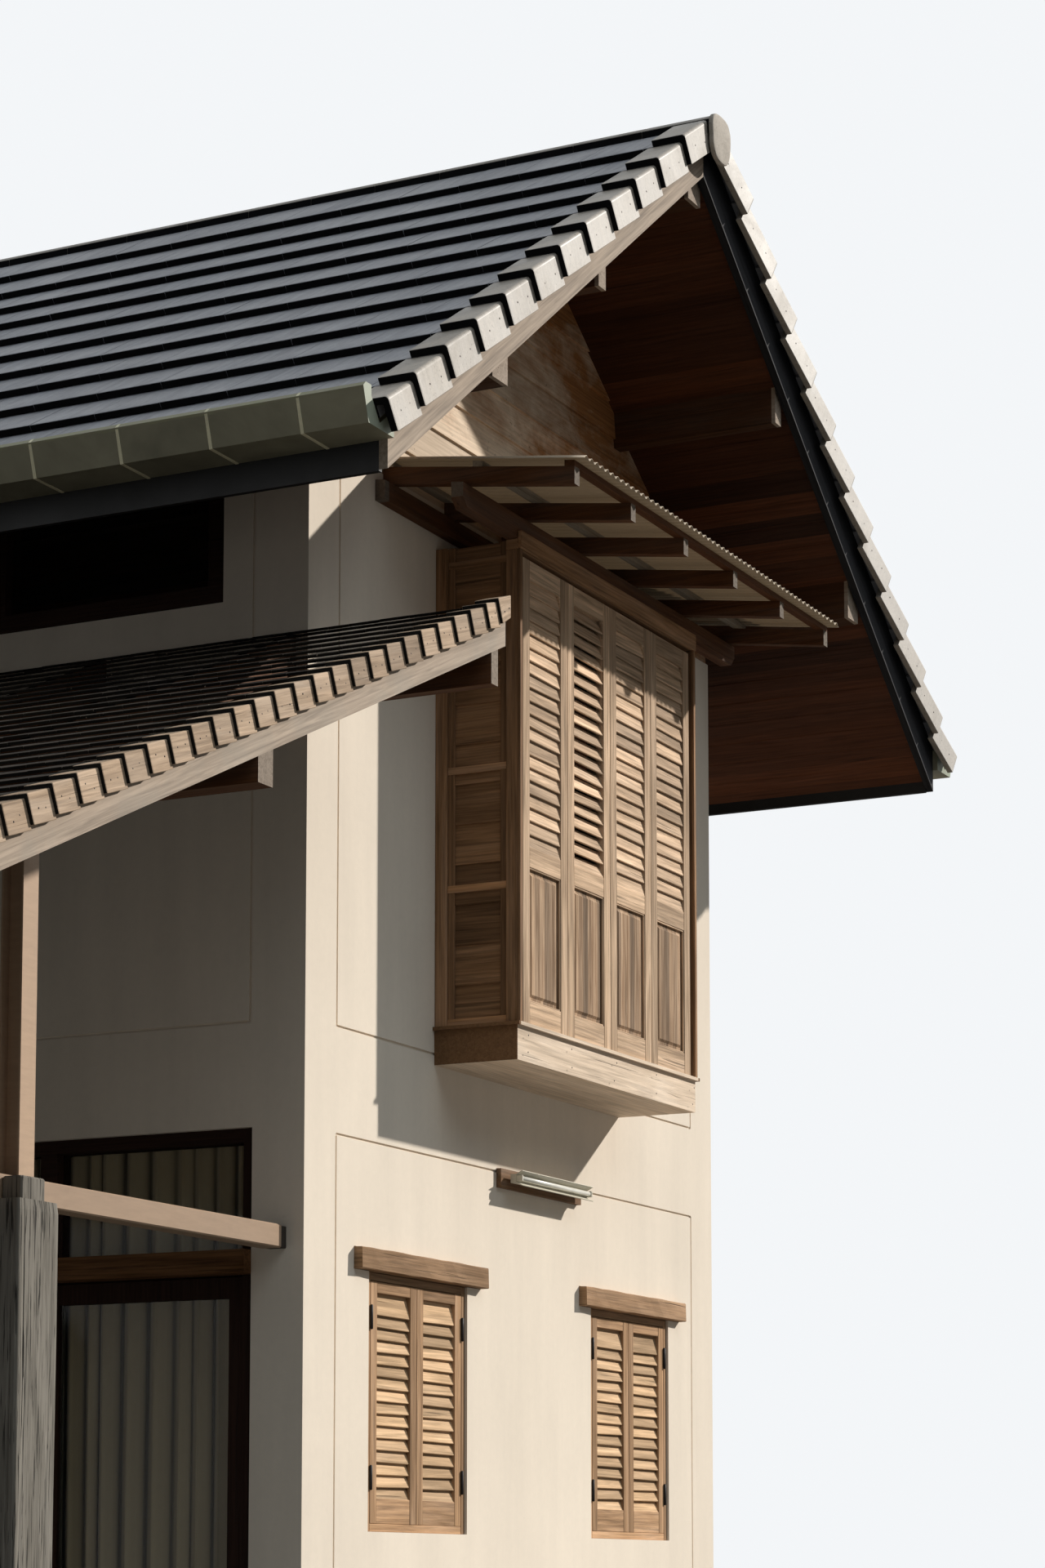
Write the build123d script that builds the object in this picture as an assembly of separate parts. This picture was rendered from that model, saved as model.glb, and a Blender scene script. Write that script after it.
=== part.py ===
from build123d import *
import os
from math import cos, floor, radians, sin, tan

# Driving dimensions, in millimetres and degrees.
# The main block: x runs across the gables, y along the ridge, the front gable faces -y.
house_width = 4370
house_length = 8000
wall_thickness = 150
floor_height = 300
floor_over_door = 273
upper_floor_thickness = 150
side_wall_top = 6145
gable_wall_top = 6030

# Grooves that frame the rendered panels.
groove_width = 12
groove_depth = 8
groove_margin = 275
lower_panel_top = 2963
upper_panel_bottom = 3437

# The main roof, its layers measured square off the slope from the barge boards' lower edge.
roof_pitch = 37
eave_overhang = 997
gable_overhang = 937
barge_tip_height = 5432
soffit_rise = 30
soffit_thickness = 20
soffit_board_width = 140
soffit_groove = 6
rafter_width = 50
rafter_depth = 152
rafter_spacing = 900
tile_thickness = 18
tile_butt = 34
tile_course = 332
first_tile_course = 288
tile_start = 8
tile_overhang = 30
tile_ridge_gap = 30

barge_thickness = 40
barge_tile_thickness = 30
barge_tile_step = 26
barge_tile_leg = 147
barge_tile_arm = 175
barge_tile_bevel = 14
barge_tile_clearance = 4
barge_tile_lift = 2

ridge_cap_width = 200
ridge_cap_top = 8107
ridge_cap_shoulder = 46
ridge_cap_crown = 40
ridge_end_lip = 8
ridge_end_thickness = 12
ridge_end_height = 200

ridge_beam_width = 144
ridge_beam_bottom = 7705
plate_start = 20
plate_end = 165
purlin_width = 75
purlin_depth = 130
purlin_place = 1090
beam_end_setback = 10

fascia_thickness = 25
fascia_drop = 4
gutter_width = 253
gutter_base_width = 208
gutter_bottom = 5553
gutter_top = 5712
gutter_clearance = 15
gutter_lip = 20
gutter_skin = 3
gutter_end_reach = 28

# Gable boarding of wide lapped boards.
gable_board_height = 186
gable_board_thickness = 16
gable_board_lap = 12
gable_board_setback = 12

# The timber bay on the front gable.
bay_width = 2006
bay_depth = 427
bay_base_bottom = 3385
bay_base_top = 3544
bay_cap_thickness = 16
bay_cap_reach = 18
bay_head_rise = 50
bay_post_width = 52
bay_post_depth = 60
bay_head_bottom = 5745
bay_trim_bottom = 5765
bay_trim_top = 5850
bay_trim_thickness = 20
bay_side_board = 18
bay_side_recess = 20
bay_side_rail = 34
bay_side_rails = (0.0, 0.28, 0.53, 0.97)
bay_side_boards = 12
bay_leaf_count = 4
leaf_gap = 3
leaf_thickness = 45
leaf_stile = 72
leaf_top_rail = 90
leaf_middle_rail = 96
leaf_bottom_rail = 110
bay_louvre_share = 0.62
louvre_thickness = 9
bay_louvre_pitch = 72
bay_louvre_depth = 78
bay_louvre_tilt = 74
open_louvre_depth = 64
open_louvre_tilt = 56
open_leaf = 1
panel_thickness = 16
panel_margin = 24
panel_field = 7

# The corrugated canopy over the bay, falling towards its front edge.
canopy_fall = 8
canopy_rafter_count = 6
canopy_rafter_span = 2980
canopy_rafter_width = 50
canopy_rafter_depth = 80
canopy_rafter_reach = 964
canopy_front_height = 5848
canopy_ledger_overhang = 75
canopy_ledger_depth = 98
canopy_ledger_thickness = 50
canopy_beam_overhang = 35
canopy_beam_bevel = 45
canopy_batten_width = 50
canopy_batten_depth = 28
canopy_sheet_overhang = 20
canopy_sheet_reach = 1020
canopy_wave = 76.75
canopy_wave_flat = 0.2
canopy_wave_height = 18
canopy_sheet_thickness = 4

# Louvred windows with their lintels.
window_width = 941
window_height = 1140
window_top = 2390
upper_window_top = 5700
window_offset = 1139
window_frame_width = 36
window_frame_depth = 100
window_recess = 12
lintel_overhang = 136
lintel_height = 100
lintel_reach = 45
lintel_bearing = 105
window_stile = 60
window_top_rail = 50
window_top_louvre = 95
window_louvre_pitch = 54
window_louvre_face = 3
window_louvre_lap = 26
window_louvre_back = 36
left_window_places = (2000,)
right_window_places = (-2200, 2200)

# Strip windows high in the side walls.
strip_start = 432
strip_length = 3600
strip_bottom = 5316
strip_top = 6000
strip_frame_width = 88
strip_frame_depth = 120
strip_recess = 15
strip_lights = 3
glass_thickness = 6

# The lamp on its board over the ground floor windows.
lamp_board_start = 1813
lamp_board_end = 2691
lamp_board_bottom = 2887
lamp_board_top = 2978
lamp_board_thickness = 25
lamp_length = 780
lamp_start = 1870
lamp_body_height = 42
lamp_body_depth = 60
lamp_stand = 22
lamp_reflector_reach = 34
lamp_reflector_skin = 3
tube_diameter = 26
socket_thickness = 16

# The glazed sliding door in the left wall.
door_start = 259
door_end = 2390
door_head_height = 2977
door_frame_width = 60
door_frame_depth = 110
door_frame_recess = 30
transom_bottom = 2340
transom_top = 2450
mullion_width = 86
door_sill_height = 30
track_height = 6
track_width = 6
leaf_clearance = 5
roller_clearance = 0.3
roller_radius = 12
door_leaf_thickness = 34
door_leaf_stile = 70
door_leaf_rail = 90
door_leaf_overlap = 40
door_track_gap = 10
pelmet_reach = 60
pelmet_bottom = 2343
pelmet_top = 2445
curtain_thickness = 50
curtain_gap = 24
curtain_clearance = 0.3
curtain_track_depth = 62
curtain_track_height = 25
curtain_overlap = 45
curtain_hem = 15

# The lean-to porch roof along the left wall.
porch_pitch = 24.24
porch_barge_height = 4948
porch_reach = 4020
porch_barge_depth = 160
porch_barge_thickness = 40
porch_front_reach = 960
porch_rafter_width = 50
porch_rafter_spacing = 1000
porch_shingle_thickness = 14
porch_shingle_butt = 16
porch_course = 157
porch_cap_course = 62
porch_top_course = 123
porch_shingle_overhang = 1
porch_block_leg = 108
porch_block_bevel = 4
porch_block_thickness = 20
porch_block_step = 15
porch_block_clearance = 4
porch_block_lift = 1
porch_block_arm = 115
wall_purlin_gap = 70
wall_purlin_width = 60
wall_purlin_depth = 132.5
wall_packer_height = 100
post_beam_width = 106
post_beam_depth = 97
post_beam_place = 1964
eave_beam_place = 3800
eave_beam_depth = 121
timber_post_size = 270
timber_post_centre = 2046
timber_post_forward = 35
timber_post_top = 2440
tongue_width = 155
tongue_thickness = 90
tongue_top = 2530
post_line = 120
steel_size = 100
steel_web = 6
steel_flange = 8
steel_beam_bottom = 2440
steel_post_rows = 3

# Values that follow from the driving dimensions.
left = -house_width / 2
front = -house_length / 2
inside = house_width / 2 - wall_thickness
inner_front = front + wall_thickness
pitch = radians(roof_pitch)
porch_slope = tan(radians(porch_pitch))
canopy_slope = tan(radians(canopy_fall))
rafter_rise = soffit_rise + soffit_thickness
tile_rise = rafter_rise + rafter_depth
tile_top = tile_rise + tile_thickness
barge_tile_top = tile_top + barge_tile_lift + barge_tile_thickness
barge_front = front - gable_overhang
layer_front = barge_front + barge_thickness
barge_tile_seat = barge_front - tile_overhang - barge_tile_clearance - barge_tile_thickness
barge_tile_front = barge_tile_seat - barge_tile_step
ridge_cap_edge = ridge_cap_width / 2 + ridge_end_lip
eave = left - eave_overhang
canopy_width = canopy_rafter_span + canopy_rafter_width
canopy_sheet_width = canopy_width + 2 * canopy_sheet_overhang
bay_front = front - bay_depth
bay_head_top = bay_trim_bottom + bay_head_rise
porch_front = front - porch_front_reach
steel_beam_top = steel_beam_bottom + steel_size
upper_floor_height = door_head_height + floor_over_door + upper_floor_thickness


def block(x0, x1, y0, y1, z0, z1):
    """A squared piece between two opposite corners."""
    middle = Pos((x0 + x1) / 2, (y0 + y1) / 2, (z0 + z1) / 2)
    return middle * Box(x1 - x0, y1 - y0, z1 - z0)


def along_y(outline, y0, y1):
    """An outline of (x, z) points drawn out along the house."""
    plane = Plane(origin=(0, y1, 0), x_dir=(1, 0, 0), z_dir=(0, -1, 0))
    return extrude(plane * make_face(Polyline(*outline, close=True)), y1 - y0)


def along_x(outline, x0, x1):
    """An outline of (y, z) points drawn out across the house."""
    plane = Plane(origin=(x0, 0, 0), x_dir=(0, 1, 0), z_dir=(1, 0, 0))
    return extrude(plane * make_face(Polyline(*outline, close=True)), x1 - x0)


def left_and_right(shape):
    """A piece and its twin across the ridge."""
    return [shape, mirror(shape, about=Plane.YZ)]


def front_and_back(shape):
    """A piece and its twin at the other gable."""
    return [shape, mirror(shape, about=Plane.XZ)]


def even_places(first, last, spacing):
    """Places from first to last, as near to the spacing as fits evenly."""
    steps = max(1, round((last - first) / spacing))
    return [first + (last - first) * step / steps for step in range(steps + 1)]


# Walls and floors.
def on_wall(side, along, height):
    """The place of a window's sill centre, its outer face on the named wall."""
    turn = {"front": 0, "right": 90, "back": 180, "left": -90}[side]
    reach = -front if side in ("front", "back") else -left
    return Rot(0, 0, turn) * Pos(along, -reach, height)


def window_places(side):
    """The louvred windows of one wall, each as the place of its sill centre."""
    sill = window_top - window_height
    if side == "left":
        return [on_wall(side, -along, sill) for along in left_window_places]
    if side == "right":
        return [on_wall(side, along, sill) for along in right_window_places]
    places = [on_wall(side, along, sill) for along in (-window_offset, window_offset)]
    if side == "back":
        places.append(on_wall(side, 0, upper_window_top - window_height))
    return places


def window_opening():
    """The hole for one window and the pocket of its lintel."""
    half = window_width / 2
    hole = block(-half, half, 0, wall_thickness, 0, window_height)
    bearing = half + lintel_overhang
    pocket = block(-bearing, bearing, 0, lintel_bearing, window_height, window_height + lintel_height)
    return hole + pocket


def cut_windows(wall, side):
    """A wall with its louvred windows cut through."""
    for place in window_places(side):
        wall -= place * window_opening()
    return wall


def panel_grooves(face_half_width, bottom, top, closed_top):
    """Grooves round a rendered panel on a wall that faces -y at y = 0."""
    edge = face_half_width - groove_margin
    deep = groove_depth
    half = groove_width / 2
    sides = [block(x - half, x + half, 0, deep, bottom, top) for x in (-edge, edge)]
    level = top if closed_top else bottom
    run = block(-edge, edge, 0, deep, level - half, level + half)
    return sides[0] + sides[1] + run


def gable_wall_body():
    """A gable wall with the grooves of its two panels."""
    wall = block(left, -left, front, inner_front, 0, gable_wall_top)
    wall -= Pos(0, front, 0) * panel_grooves(-left, floor_height, lower_panel_top, True)
    wall -= Pos(0, front, 0) * panel_grooves(-left, upper_panel_bottom, gable_wall_top, False)
    return wall


def front_wall():
    """The front gable wall with the bay's opening."""
    half = bay_width / 2 - bay_post_width
    wall = gable_wall_body() - block(-half, half, front, inner_front, bay_base_top, bay_trim_bottom)
    return [cut_windows(wall, "front")]


def back_wall():
    """The back gable wall."""
    return [cut_windows(mirror(gable_wall_body(), about=Plane.XZ), "back")]


def side_grooves(bottom, top, closed_top):
    """The same panel grooves on the left wall's outer face."""
    turned = Rot(0, 0, -90) * panel_grooves(-front, bottom, top, closed_top)
    return Pos(left, 0, 0) * turned


def strip_opening():
    """The hole for the strip window in the left wall."""
    start = front + strip_start
    return block(left, -inside, start, start + strip_length, strip_bottom, strip_top)


def right_wall():
    """The right wall in one piece, with a strip window like the left one."""
    wall = block(left, -inside, inner_front, -inner_front, 0, side_wall_top)
    wall -= strip_opening()
    wall -= side_grooves(upper_panel_bottom, side_wall_top, False)
    return [cut_windows(mirror(wall, about=Plane.YZ), "right")]


def left_wall_corner():
    """The narrow pier between the front gable and the door."""
    return [block(left, -inside, inner_front, front + door_start, 0, door_head_height)]


def left_wall_rear():
    """The left wall behind the door, with its two windows."""
    wall = block(left, -inside, front + door_end, -inner_front, 0, door_head_height)
    return [cut_windows(wall, "left")]


def left_wall_upper():
    """The left wall over the door, up to the wall plate."""
    wall = block(left, -inside, inner_front, -inner_front, door_head_height, side_wall_top)
    return [wall - strip_opening() - side_grooves(upper_panel_bottom, side_wall_top, False)]


def ground_slab():
    """The ground floor, down to the ground."""
    return [block(-inside, inside, inner_front, -inner_front, 0, floor_height)]


def door_step():
    """The masonry under the door's sill."""
    return [block(left, -inside, front + door_start, front + door_end, 0, floor_height)]


def upper_floor():
    """The upper floor between the walls."""
    bottom = upper_floor_height - upper_floor_thickness
    return [block(-inside, inside, inner_front, -inner_front, bottom, upper_floor_height)]


# The main roof.
def roof_point(along, rise):
    """A point (x, z) of the left slope: along it from the barge tip, and square off it."""
    x = eave + along * cos(pitch) - rise * sin(pitch)
    return x, barge_tip_height + along * sin(pitch) + rise * cos(pitch)


def roof_height(x, rise):
    """The height at x of a layer of the left slope, its rise taken square off the slope."""
    return barge_tip_height + (x - eave) * tan(pitch) + rise / cos(pitch)


def roof_layer(x0, x1, low, high, y0, y1):
    """A layer of the left slope with plumb ends."""
    outline = [(x0, roof_height(x0, low)), (x1, roof_height(x1, low))]
    outline += [(x1, roof_height(x1, high)), (x0, roof_height(x0, high))]
    return along_y(outline, y0, y1)


def tile_starts():
    """Where each course of tiles starts, along the slope. The last two share what is left."""
    edge = (-eave - ridge_cap_edge + barge_tile_top * sin(pitch)) / cos(pitch)
    starts = [tile_start, tile_start + first_tile_course]
    while edge - starts[-1] > 2.5 * tile_course:
        starts.append(starts[-1] + tile_course)
    return starts + [(starts[-1] + edge) / 2]


def roof_tiles():
    """The left slope's tiles: a sawtooth section, one tooth a course."""
    starts = tile_starts()
    outline = [roof_point(tile_start, tile_rise)]
    for start, end in zip(starts, starts[1:]):
        outline += [roof_point(start, tile_top + tile_butt), roof_point(end, tile_top)]
    outline.append(roof_point(starts[-1], tile_top + tile_butt))
    last_x = -tile_ridge_gap
    outline += [(last_x, roof_height(last_x, tile_top)), (last_x, roof_height(last_x, tile_rise))]
    end = barge_front - tile_overhang
    return along_y(outline, end, -end)


def last_course_height(x):
    """The height at x of the top of the last course of tiles."""
    x0, z0 = roof_point(tile_starts()[-1], tile_top + tile_butt)
    z1 = roof_height(-tile_ridge_gap, tile_top)
    return z0 + (x - x0) / (-tile_ridge_gap - x0) * (z1 - z0)


def roof_tiles_left():
    """The tiles on the porch's side."""
    return [roof_tiles()]


def roof_tiles_right():
    """The tiles on the other side."""
    return [mirror(roof_tiles(), about=Plane.YZ)]


def soffit_boards():
    """Soffit boards under each slope, grooved where board meets board."""
    start, end = eave + fascia_thickness, 0
    low, high = soffit_rise, rafter_rise
    outline = [(start, roof_height(start, low))]
    run = soffit_board_width * cos(pitch)
    half = soffit_groove / 2
    for board in range(1, floor((end - start) / run)):
        x = start + board * run
        outline += [(x - half, roof_height(x - half, low)), (x, roof_height(x, low + half))]
        outline += [(x + half, roof_height(x + half, low))]
    end -= tile_ridge_gap
    outline += [(end, roof_height(end, low)), (end, roof_height(end, high))]
    outline += [(start, roof_height(start, high))]
    return left_and_right(along_y(outline, layer_front, -layer_front))


def rafters():
    """Rafters between the soffit and the tiles, on both slopes."""
    half = rafter_width / 2
    start = eave + fascia_thickness
    pieces = []
    for y in even_places(layer_front + half, -layer_front - half, rafter_spacing):
        rafter = roof_layer(start, -tile_ridge_gap, rafter_rise, tile_rise, y - half, y + half)
        pieces += left_and_right(rafter)
    return pieces


def barge_boards():
    """The four barge boards, mitred at the ridge."""
    board = roof_layer(eave, -1, 0, tile_rise, barge_front, layer_front)
    return [piece for half in front_and_back(board) for piece in left_and_right(half)]


def fascias():
    """A fascia under each eave, its top bevelled to the tiles."""
    inner = eave + fascia_thickness
    bottom = barge_tip_height - fascia_drop
    outline = [(eave, bottom), (inner, bottom), (inner, roof_height(inner, tile_rise))]
    outline.append((eave, roof_height(eave, tile_rise)))
    return left_and_right(along_y(outline, layer_front, -layer_front))


def beam_front():
    """Where the roof beams end, just behind the barge board."""
    return layer_front + beam_end_setback


def roof_purlins():
    """Wall plates and middle purlins, their tops bevelled to the soffit."""
    plate = plate_outline(left + plate_start, left + plate_end, side_wall_top)
    x0 = left + purlin_place
    x1 = x0 + purlin_width
    purlin = plate_outline(x0, x1, roof_height(x0, soffit_rise) - purlin_depth)
    shapes = [along_y(outline, beam_front(), -beam_front()) for outline in (plate, purlin)]
    return [piece for shape in shapes for piece in left_and_right(shape)]


def plate_outline(x0, x1, bottom):
    """A beam's section, flat below and bevelled to the soffit above."""
    top = [(x1, roof_height(x1, soffit_rise)), (x0, roof_height(x0, soffit_rise))]
    return [(x0, bottom), (x1, bottom), *top]


def ridge_beam():
    """The ridge beam, its top cut to both slopes."""
    half = ridge_beam_width / 2
    side = roof_height(-half, soffit_rise)
    outline = [(-half, ridge_beam_bottom), (half, ridge_beam_bottom), (half, side)]
    outline += [(0, roof_height(0, soffit_rise)), (-half, side)]
    return [along_y(outline, beam_front(), -beam_front())]


def gable_boarding():
    """Wide lapped boards between the gable wall and the roof, cut round the beams."""
    outer = front + gable_board_setback
    inner = outer + gable_board_thickness + gable_board_lap
    top = roof_height(0, soffit_rise)
    outline = [(inner, gable_wall_top)]
    z = gable_wall_top
    while z < top:
        outline += [(outer, z), (outer + gable_board_lap, z + gable_board_height)]
        z += gable_board_height
    outline.append((inner, z))
    wide = -left
    side = roof_height(-wide, soffit_rise)
    triangle = [(-wide, gable_wall_top), (wide, gable_wall_top), (wide, side), (0, top), (-wide, side)]
    boards = along_x(outline, -wide, wide) & along_y(triangle, front, inner_front)
    for beam in roof_purlins() + ridge_beam():
        boards -= beam
    return front_and_back(boards.solids().sort_by(SortBy.VOLUME)[-1])


def angle_section(thickness, arm, leg, bevel):
    """An angled tile's section, its outer corner at the origin and bevelled."""
    outline = [(0, -leg), (0, -bevel), (bevel, 0), (arm, 0)]
    outline += [(arm, -thickness), (thickness, -thickness), (thickness, -leg)]
    return make_face(Polyline(*outline, close=True))


def sloping_tile(section, low, high, turn):
    """A section drawn out up a slope between two points, its ends square to the slope."""
    start, end = Vector(*low), Vector(*high)
    plane = Plane(origin=start, x_dir=(0, 1, 0), z_dir=(cos(turn), 0, sin(turn)))
    path = end - start
    return extrude(plane * section, path.length, dir=path)


def barge_tile_run():
    """One rake's barge tiles, each tilted over the one below, cut off under the ridge tiles."""
    section = angle_section(barge_tile_thickness, barge_tile_arm, barge_tile_leg, barge_tile_bevel)
    starts = tile_starts()
    tip = (-eave + barge_tile_top * sin(pitch)) / cos(pitch)
    run = None
    for start, end in zip(starts, starts[1:] + [tip]):
        x0, z0 = roof_point(start, barge_tile_top + tile_butt)
        x1, z1 = roof_point(end, barge_tile_top)
        tile = sloping_tile(section, (x0, barge_tile_front, z0), (x1, barge_tile_seat, z1), pitch)
        run = tile if run is None else run + tile
    seat = last_course_height(-ridge_cap_edge)
    above = ridge_cap_top * 2
    run &= block(eave * 2, -1, -house_length, 0, 0, above)
    return run - block(-ridge_cap_edge, 0, -house_length, 0, seat, above)


def barge_tiles():
    """Barge tiles on the four rakes."""
    run = barge_tile_run()
    return [piece for half in front_and_back(run) for piece in left_and_right(half)]


def ridge_section():
    """The ridge tiles' outline on the last courses of tiles."""
    half = ridge_cap_width / 2
    crown = ridge_cap_crown
    top = ridge_cap_top
    shoulder = top - ridge_cap_shoulder
    seat, peak = last_course_height(-half), last_course_height(-tile_ridge_gap)
    gap = tile_ridge_gap
    under = [(-half, seat), (-gap, peak), (gap, peak), (half, seat)]
    return under + [(half, shoulder), (crown, top), (-crown, top), (-half, shoulder)]


def ridge_tiles():
    """The row of ridge tiles with a rounded cap at each gable."""
    start = barge_tile_front
    tiles = along_y(ridge_section(), start, -start)
    for end in front_and_back(ridge_end(start)):
        tiles += end
    return [tiles]


def ridge_end(start):
    """The rounded cap that closes the ridge tiles at a gable."""
    radius = ridge_cap_edge
    top = ridge_cap_top + ridge_end_lip
    shoulder = top - ridge_cap_shoulder
    bottom = top - ridge_end_height
    crown = ridge_cap_crown + ridge_end_lip
    plane = Plane(origin=(0, start, 0), x_dir=(1, 0, 0), z_dir=(0, -1, 0))
    side = bottom + radius
    outline = Polyline((-radius, side), (-radius, shoulder), (-crown, top))
    outline += Polyline((-crown, top), (crown, top), (radius, shoulder), (radius, side))
    outline += ThreePointArc((radius, side), (0, bottom), (-radius, side))
    return extrude(plane * make_face(outline), ridge_end_thickness)


def gutter_section():
    """The folded section of the left gutter: back, floor, leaning front and lip."""
    skin = gutter_skin
    base, outer = eave - gutter_base_width, eave - gutter_width
    bottom, top, fold = gutter_bottom, gutter_top, gutter_top - gutter_lip
    back = roof_height(eave, tile_rise - gutter_clearance)
    lip = outer + gutter_lip
    outline = [(eave, back), (eave, bottom), (base, bottom), (outer, fold), (lip, top)]
    outline += [(lip + skin, top), (outer + skin, fold), (base + skin, bottom + skin)]
    return outline + [(eave - skin, bottom + skin), (eave - skin, back)]


def gutter_end():
    """The outline of the gutter's end cap, cut clear of the tiles' lower ends."""
    start = tile_start - gutter_clearance
    back = roof_height(eave, tile_rise - gutter_clearance)
    mouth = roof_point(start, barge_tile_top + tile_butt + gutter_clearance)
    outer = eave - gutter_width
    outline = [(eave - gutter_base_width, gutter_bottom), (eave, gutter_bottom), (eave, back)]
    outline += [roof_point(start, tile_rise - gutter_clearance), mouth, (mouth[0], gutter_top)]
    return outline + [(outer + gutter_lip, gutter_top), (outer, gutter_top - gutter_lip)]


def gutter():
    """The left gutter: a folded trough with an end cap at each gable."""
    ends = barge_front - gutter_end_reach
    trough = along_y(gutter_section(), ends, -ends)
    for cap in front_and_back(along_y(gutter_end(), ends, ends + gutter_skin)):
        trough += cap
    return trough


def gutters():
    """Both gutters."""
    return left_and_right(gutter())


# The bay and its shutters.
def slat(width, depth, tilt):
    """One louvre slat, its outer edge lower."""
    return Rot(tilt, 0, 0) * Box(width, depth, louvre_thickness)


def raised_panel(width, height):
    """A panel with a raised field and sloping margins."""
    field = Box(width - 2 * panel_margin, panel_thickness + 2 * panel_field, height - 2 * panel_margin)
    field = chamfer(field.edges().filter_by(Axis.Y, reverse=True), panel_field - 1)
    return Box(width, panel_thickness, height) + field


def louvred_leaf(width, height, louvre_depth, tilt):
    """A bay leaf from its lower left outer corner: open louvres above, a raised panel below."""
    middle = leaf_thickness / 2
    inner = width - 2 * leaf_stile
    rail_top = height * (1 - bay_louvre_share)
    panel_top = rail_top - leaf_middle_rail
    top = height - leaf_top_rail
    leaf = block(0, width, 0, leaf_thickness, 0, height)
    leaf -= block(leaf_stile, width - leaf_stile, 0, leaf_thickness, leaf_bottom_rail, panel_top)
    leaf -= block(leaf_stile, width - leaf_stile, 0, leaf_thickness, rail_top, top)
    place = Pos(width / 2, middle, (leaf_bottom_rail + panel_top) / 2)
    leaf += place * raised_panel(inner, panel_top - leaf_bottom_rail)
    count = round((top - rail_top) / bay_louvre_pitch)
    step = (top - rail_top) / count
    for index in range(count):
        leaf += Pos(width / 2, middle, rail_top + (index + 0.5) * step) * slat(inner, louvre_depth, tilt)
    return leaf


def bay_shutters():
    """The bay's four leaves, one of them with its slats further open."""
    clear = bay_width - 2 * bay_post_width
    width = (clear - (bay_leaf_count + 1) * leaf_gap) / bay_leaf_count
    bottom = bay_base_top + bay_cap_thickness
    height = bay_head_bottom - leaf_gap - bottom
    leaves = []
    for index in range(bay_leaf_count):
        opened = index == open_leaf
        depth = open_louvre_depth if opened else bay_louvre_depth
        leaf = louvred_leaf(width, height, depth, open_louvre_tilt if opened else bay_louvre_tilt)
        x = -clear / 2 + leaf_gap + index * (width + leaf_gap)
        leaves.append(Pos(x, bay_front, bottom) * leaf)
    return leaves


def bay_base():
    """The bay's boxed base with its cap strip."""
    half = bay_width / 2
    base = block(-half, half, bay_front, front, bay_base_bottom, bay_base_top)
    reach = bay_cap_reach
    top = bay_base_top + bay_cap_thickness
    return [base + block(-half - reach, half + reach, bay_front - reach, front, bay_base_top, top)]


def bay_frame():
    """The bay's front frame with its head trim, and a stud on the wall at each side."""
    half = bay_width / 2
    bottom = bay_base_top + bay_cap_thickness
    inner = bay_front + bay_post_depth
    frame = block(-half, half, bay_front, inner, bay_head_bottom, bay_head_top)
    frame += block(-half, half, bay_front - bay_trim_thickness, bay_front, bay_trim_bottom, bay_trim_top)
    post = block(-half, -half + bay_post_width, bay_front, inner, bottom, bay_head_bottom)
    for piece in left_and_right(post):
        frame += piece
    stud = block(-half, -half + bay_post_width, front - bay_post_depth, front, bottom, bay_head_top)
    return [frame] + left_and_right(stud)


def bay_sides():
    """The bay's sides: lapped boards behind rails."""
    outer = -bay_width / 2
    y0 = bay_front + bay_post_depth
    y1 = front - bay_post_depth
    bottom = bay_base_top + bay_cap_thickness
    height = bay_head_top - bottom
    face = outer + bay_side_recess
    inner = face + bay_side_board
    step = height / bay_side_boards
    outline = [(inner, bottom)]
    for index in range(bay_side_boards):
        z = bottom + index * step
        outline += [(face, z), (face + bay_side_board / 3, z + step)]
    outline.append((inner, bottom + height))
    side = along_y(outline, y0, y1)
    for share in bay_side_rails:
        z = bottom + share * (height - bay_side_rail)
        side += block(outer + bay_side_recess / 2, inner, y0, y1, z, z + bay_side_rail)
    return left_and_right(side)


# The canopy.
def canopy_height(y, rise):
    """The height at y of a plane of the canopy, rise above the rafters' underside."""
    return canopy_front_height + (y - front + canopy_rafter_reach) * canopy_slope + rise


def canopy_strip(y0, y1, low, high, x0, x1):
    """A piece that lies along the canopy's fall, with plumb ends."""
    outline = [(y0, canopy_height(y0, low)), (y1, canopy_height(y1, low))]
    outline += [(y1, canopy_height(y1, high)), (y0, canopy_height(y0, high))]
    return along_x(outline, x0, x1)


def canopy_beams():
    """The ledger on the wall and the outer beam on the bay's posts."""
    half = canopy_width / 2 + canopy_ledger_overhang
    y0 = front - canopy_ledger_thickness
    bottom = canopy_height(front, 0) - canopy_ledger_depth
    ledger = [(y0, bottom), (front, bottom), (front, canopy_height(front, 0)), (y0, canopy_height(y0, 0))]
    bottom = bay_head_top
    y1 = bay_front + bay_post_depth
    beam = [(bay_front, bottom), (y1, bottom), (y1, canopy_height(y1, 0))]
    beam.append((bay_front, canopy_height(bay_front, 0)))
    reach = canopy_width / 2 + canopy_beam_overhang
    outer = along_x(beam, -reach, reach)
    cut = [(-reach, bottom), (-reach + canopy_beam_bevel, bottom), (-reach, bottom + canopy_beam_bevel)]
    for corner in left_and_right(along_y(cut, bay_front - 1, y1 + 1)):
        outer -= corner
    return [along_x(ledger, -half, half), outer]


def canopy_rafters():
    """The canopy's rafters, evenly spaced."""
    half = canopy_rafter_width / 2
    span = canopy_rafter_span / 2
    step = canopy_rafter_span / (canopy_rafter_count - 1)
    places = [-span + index * step for index in range(canopy_rafter_count)]
    y0 = front - canopy_rafter_reach
    return [canopy_strip(y0, front, 0, canopy_rafter_depth, x - half, x + half) for x in places]


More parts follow.
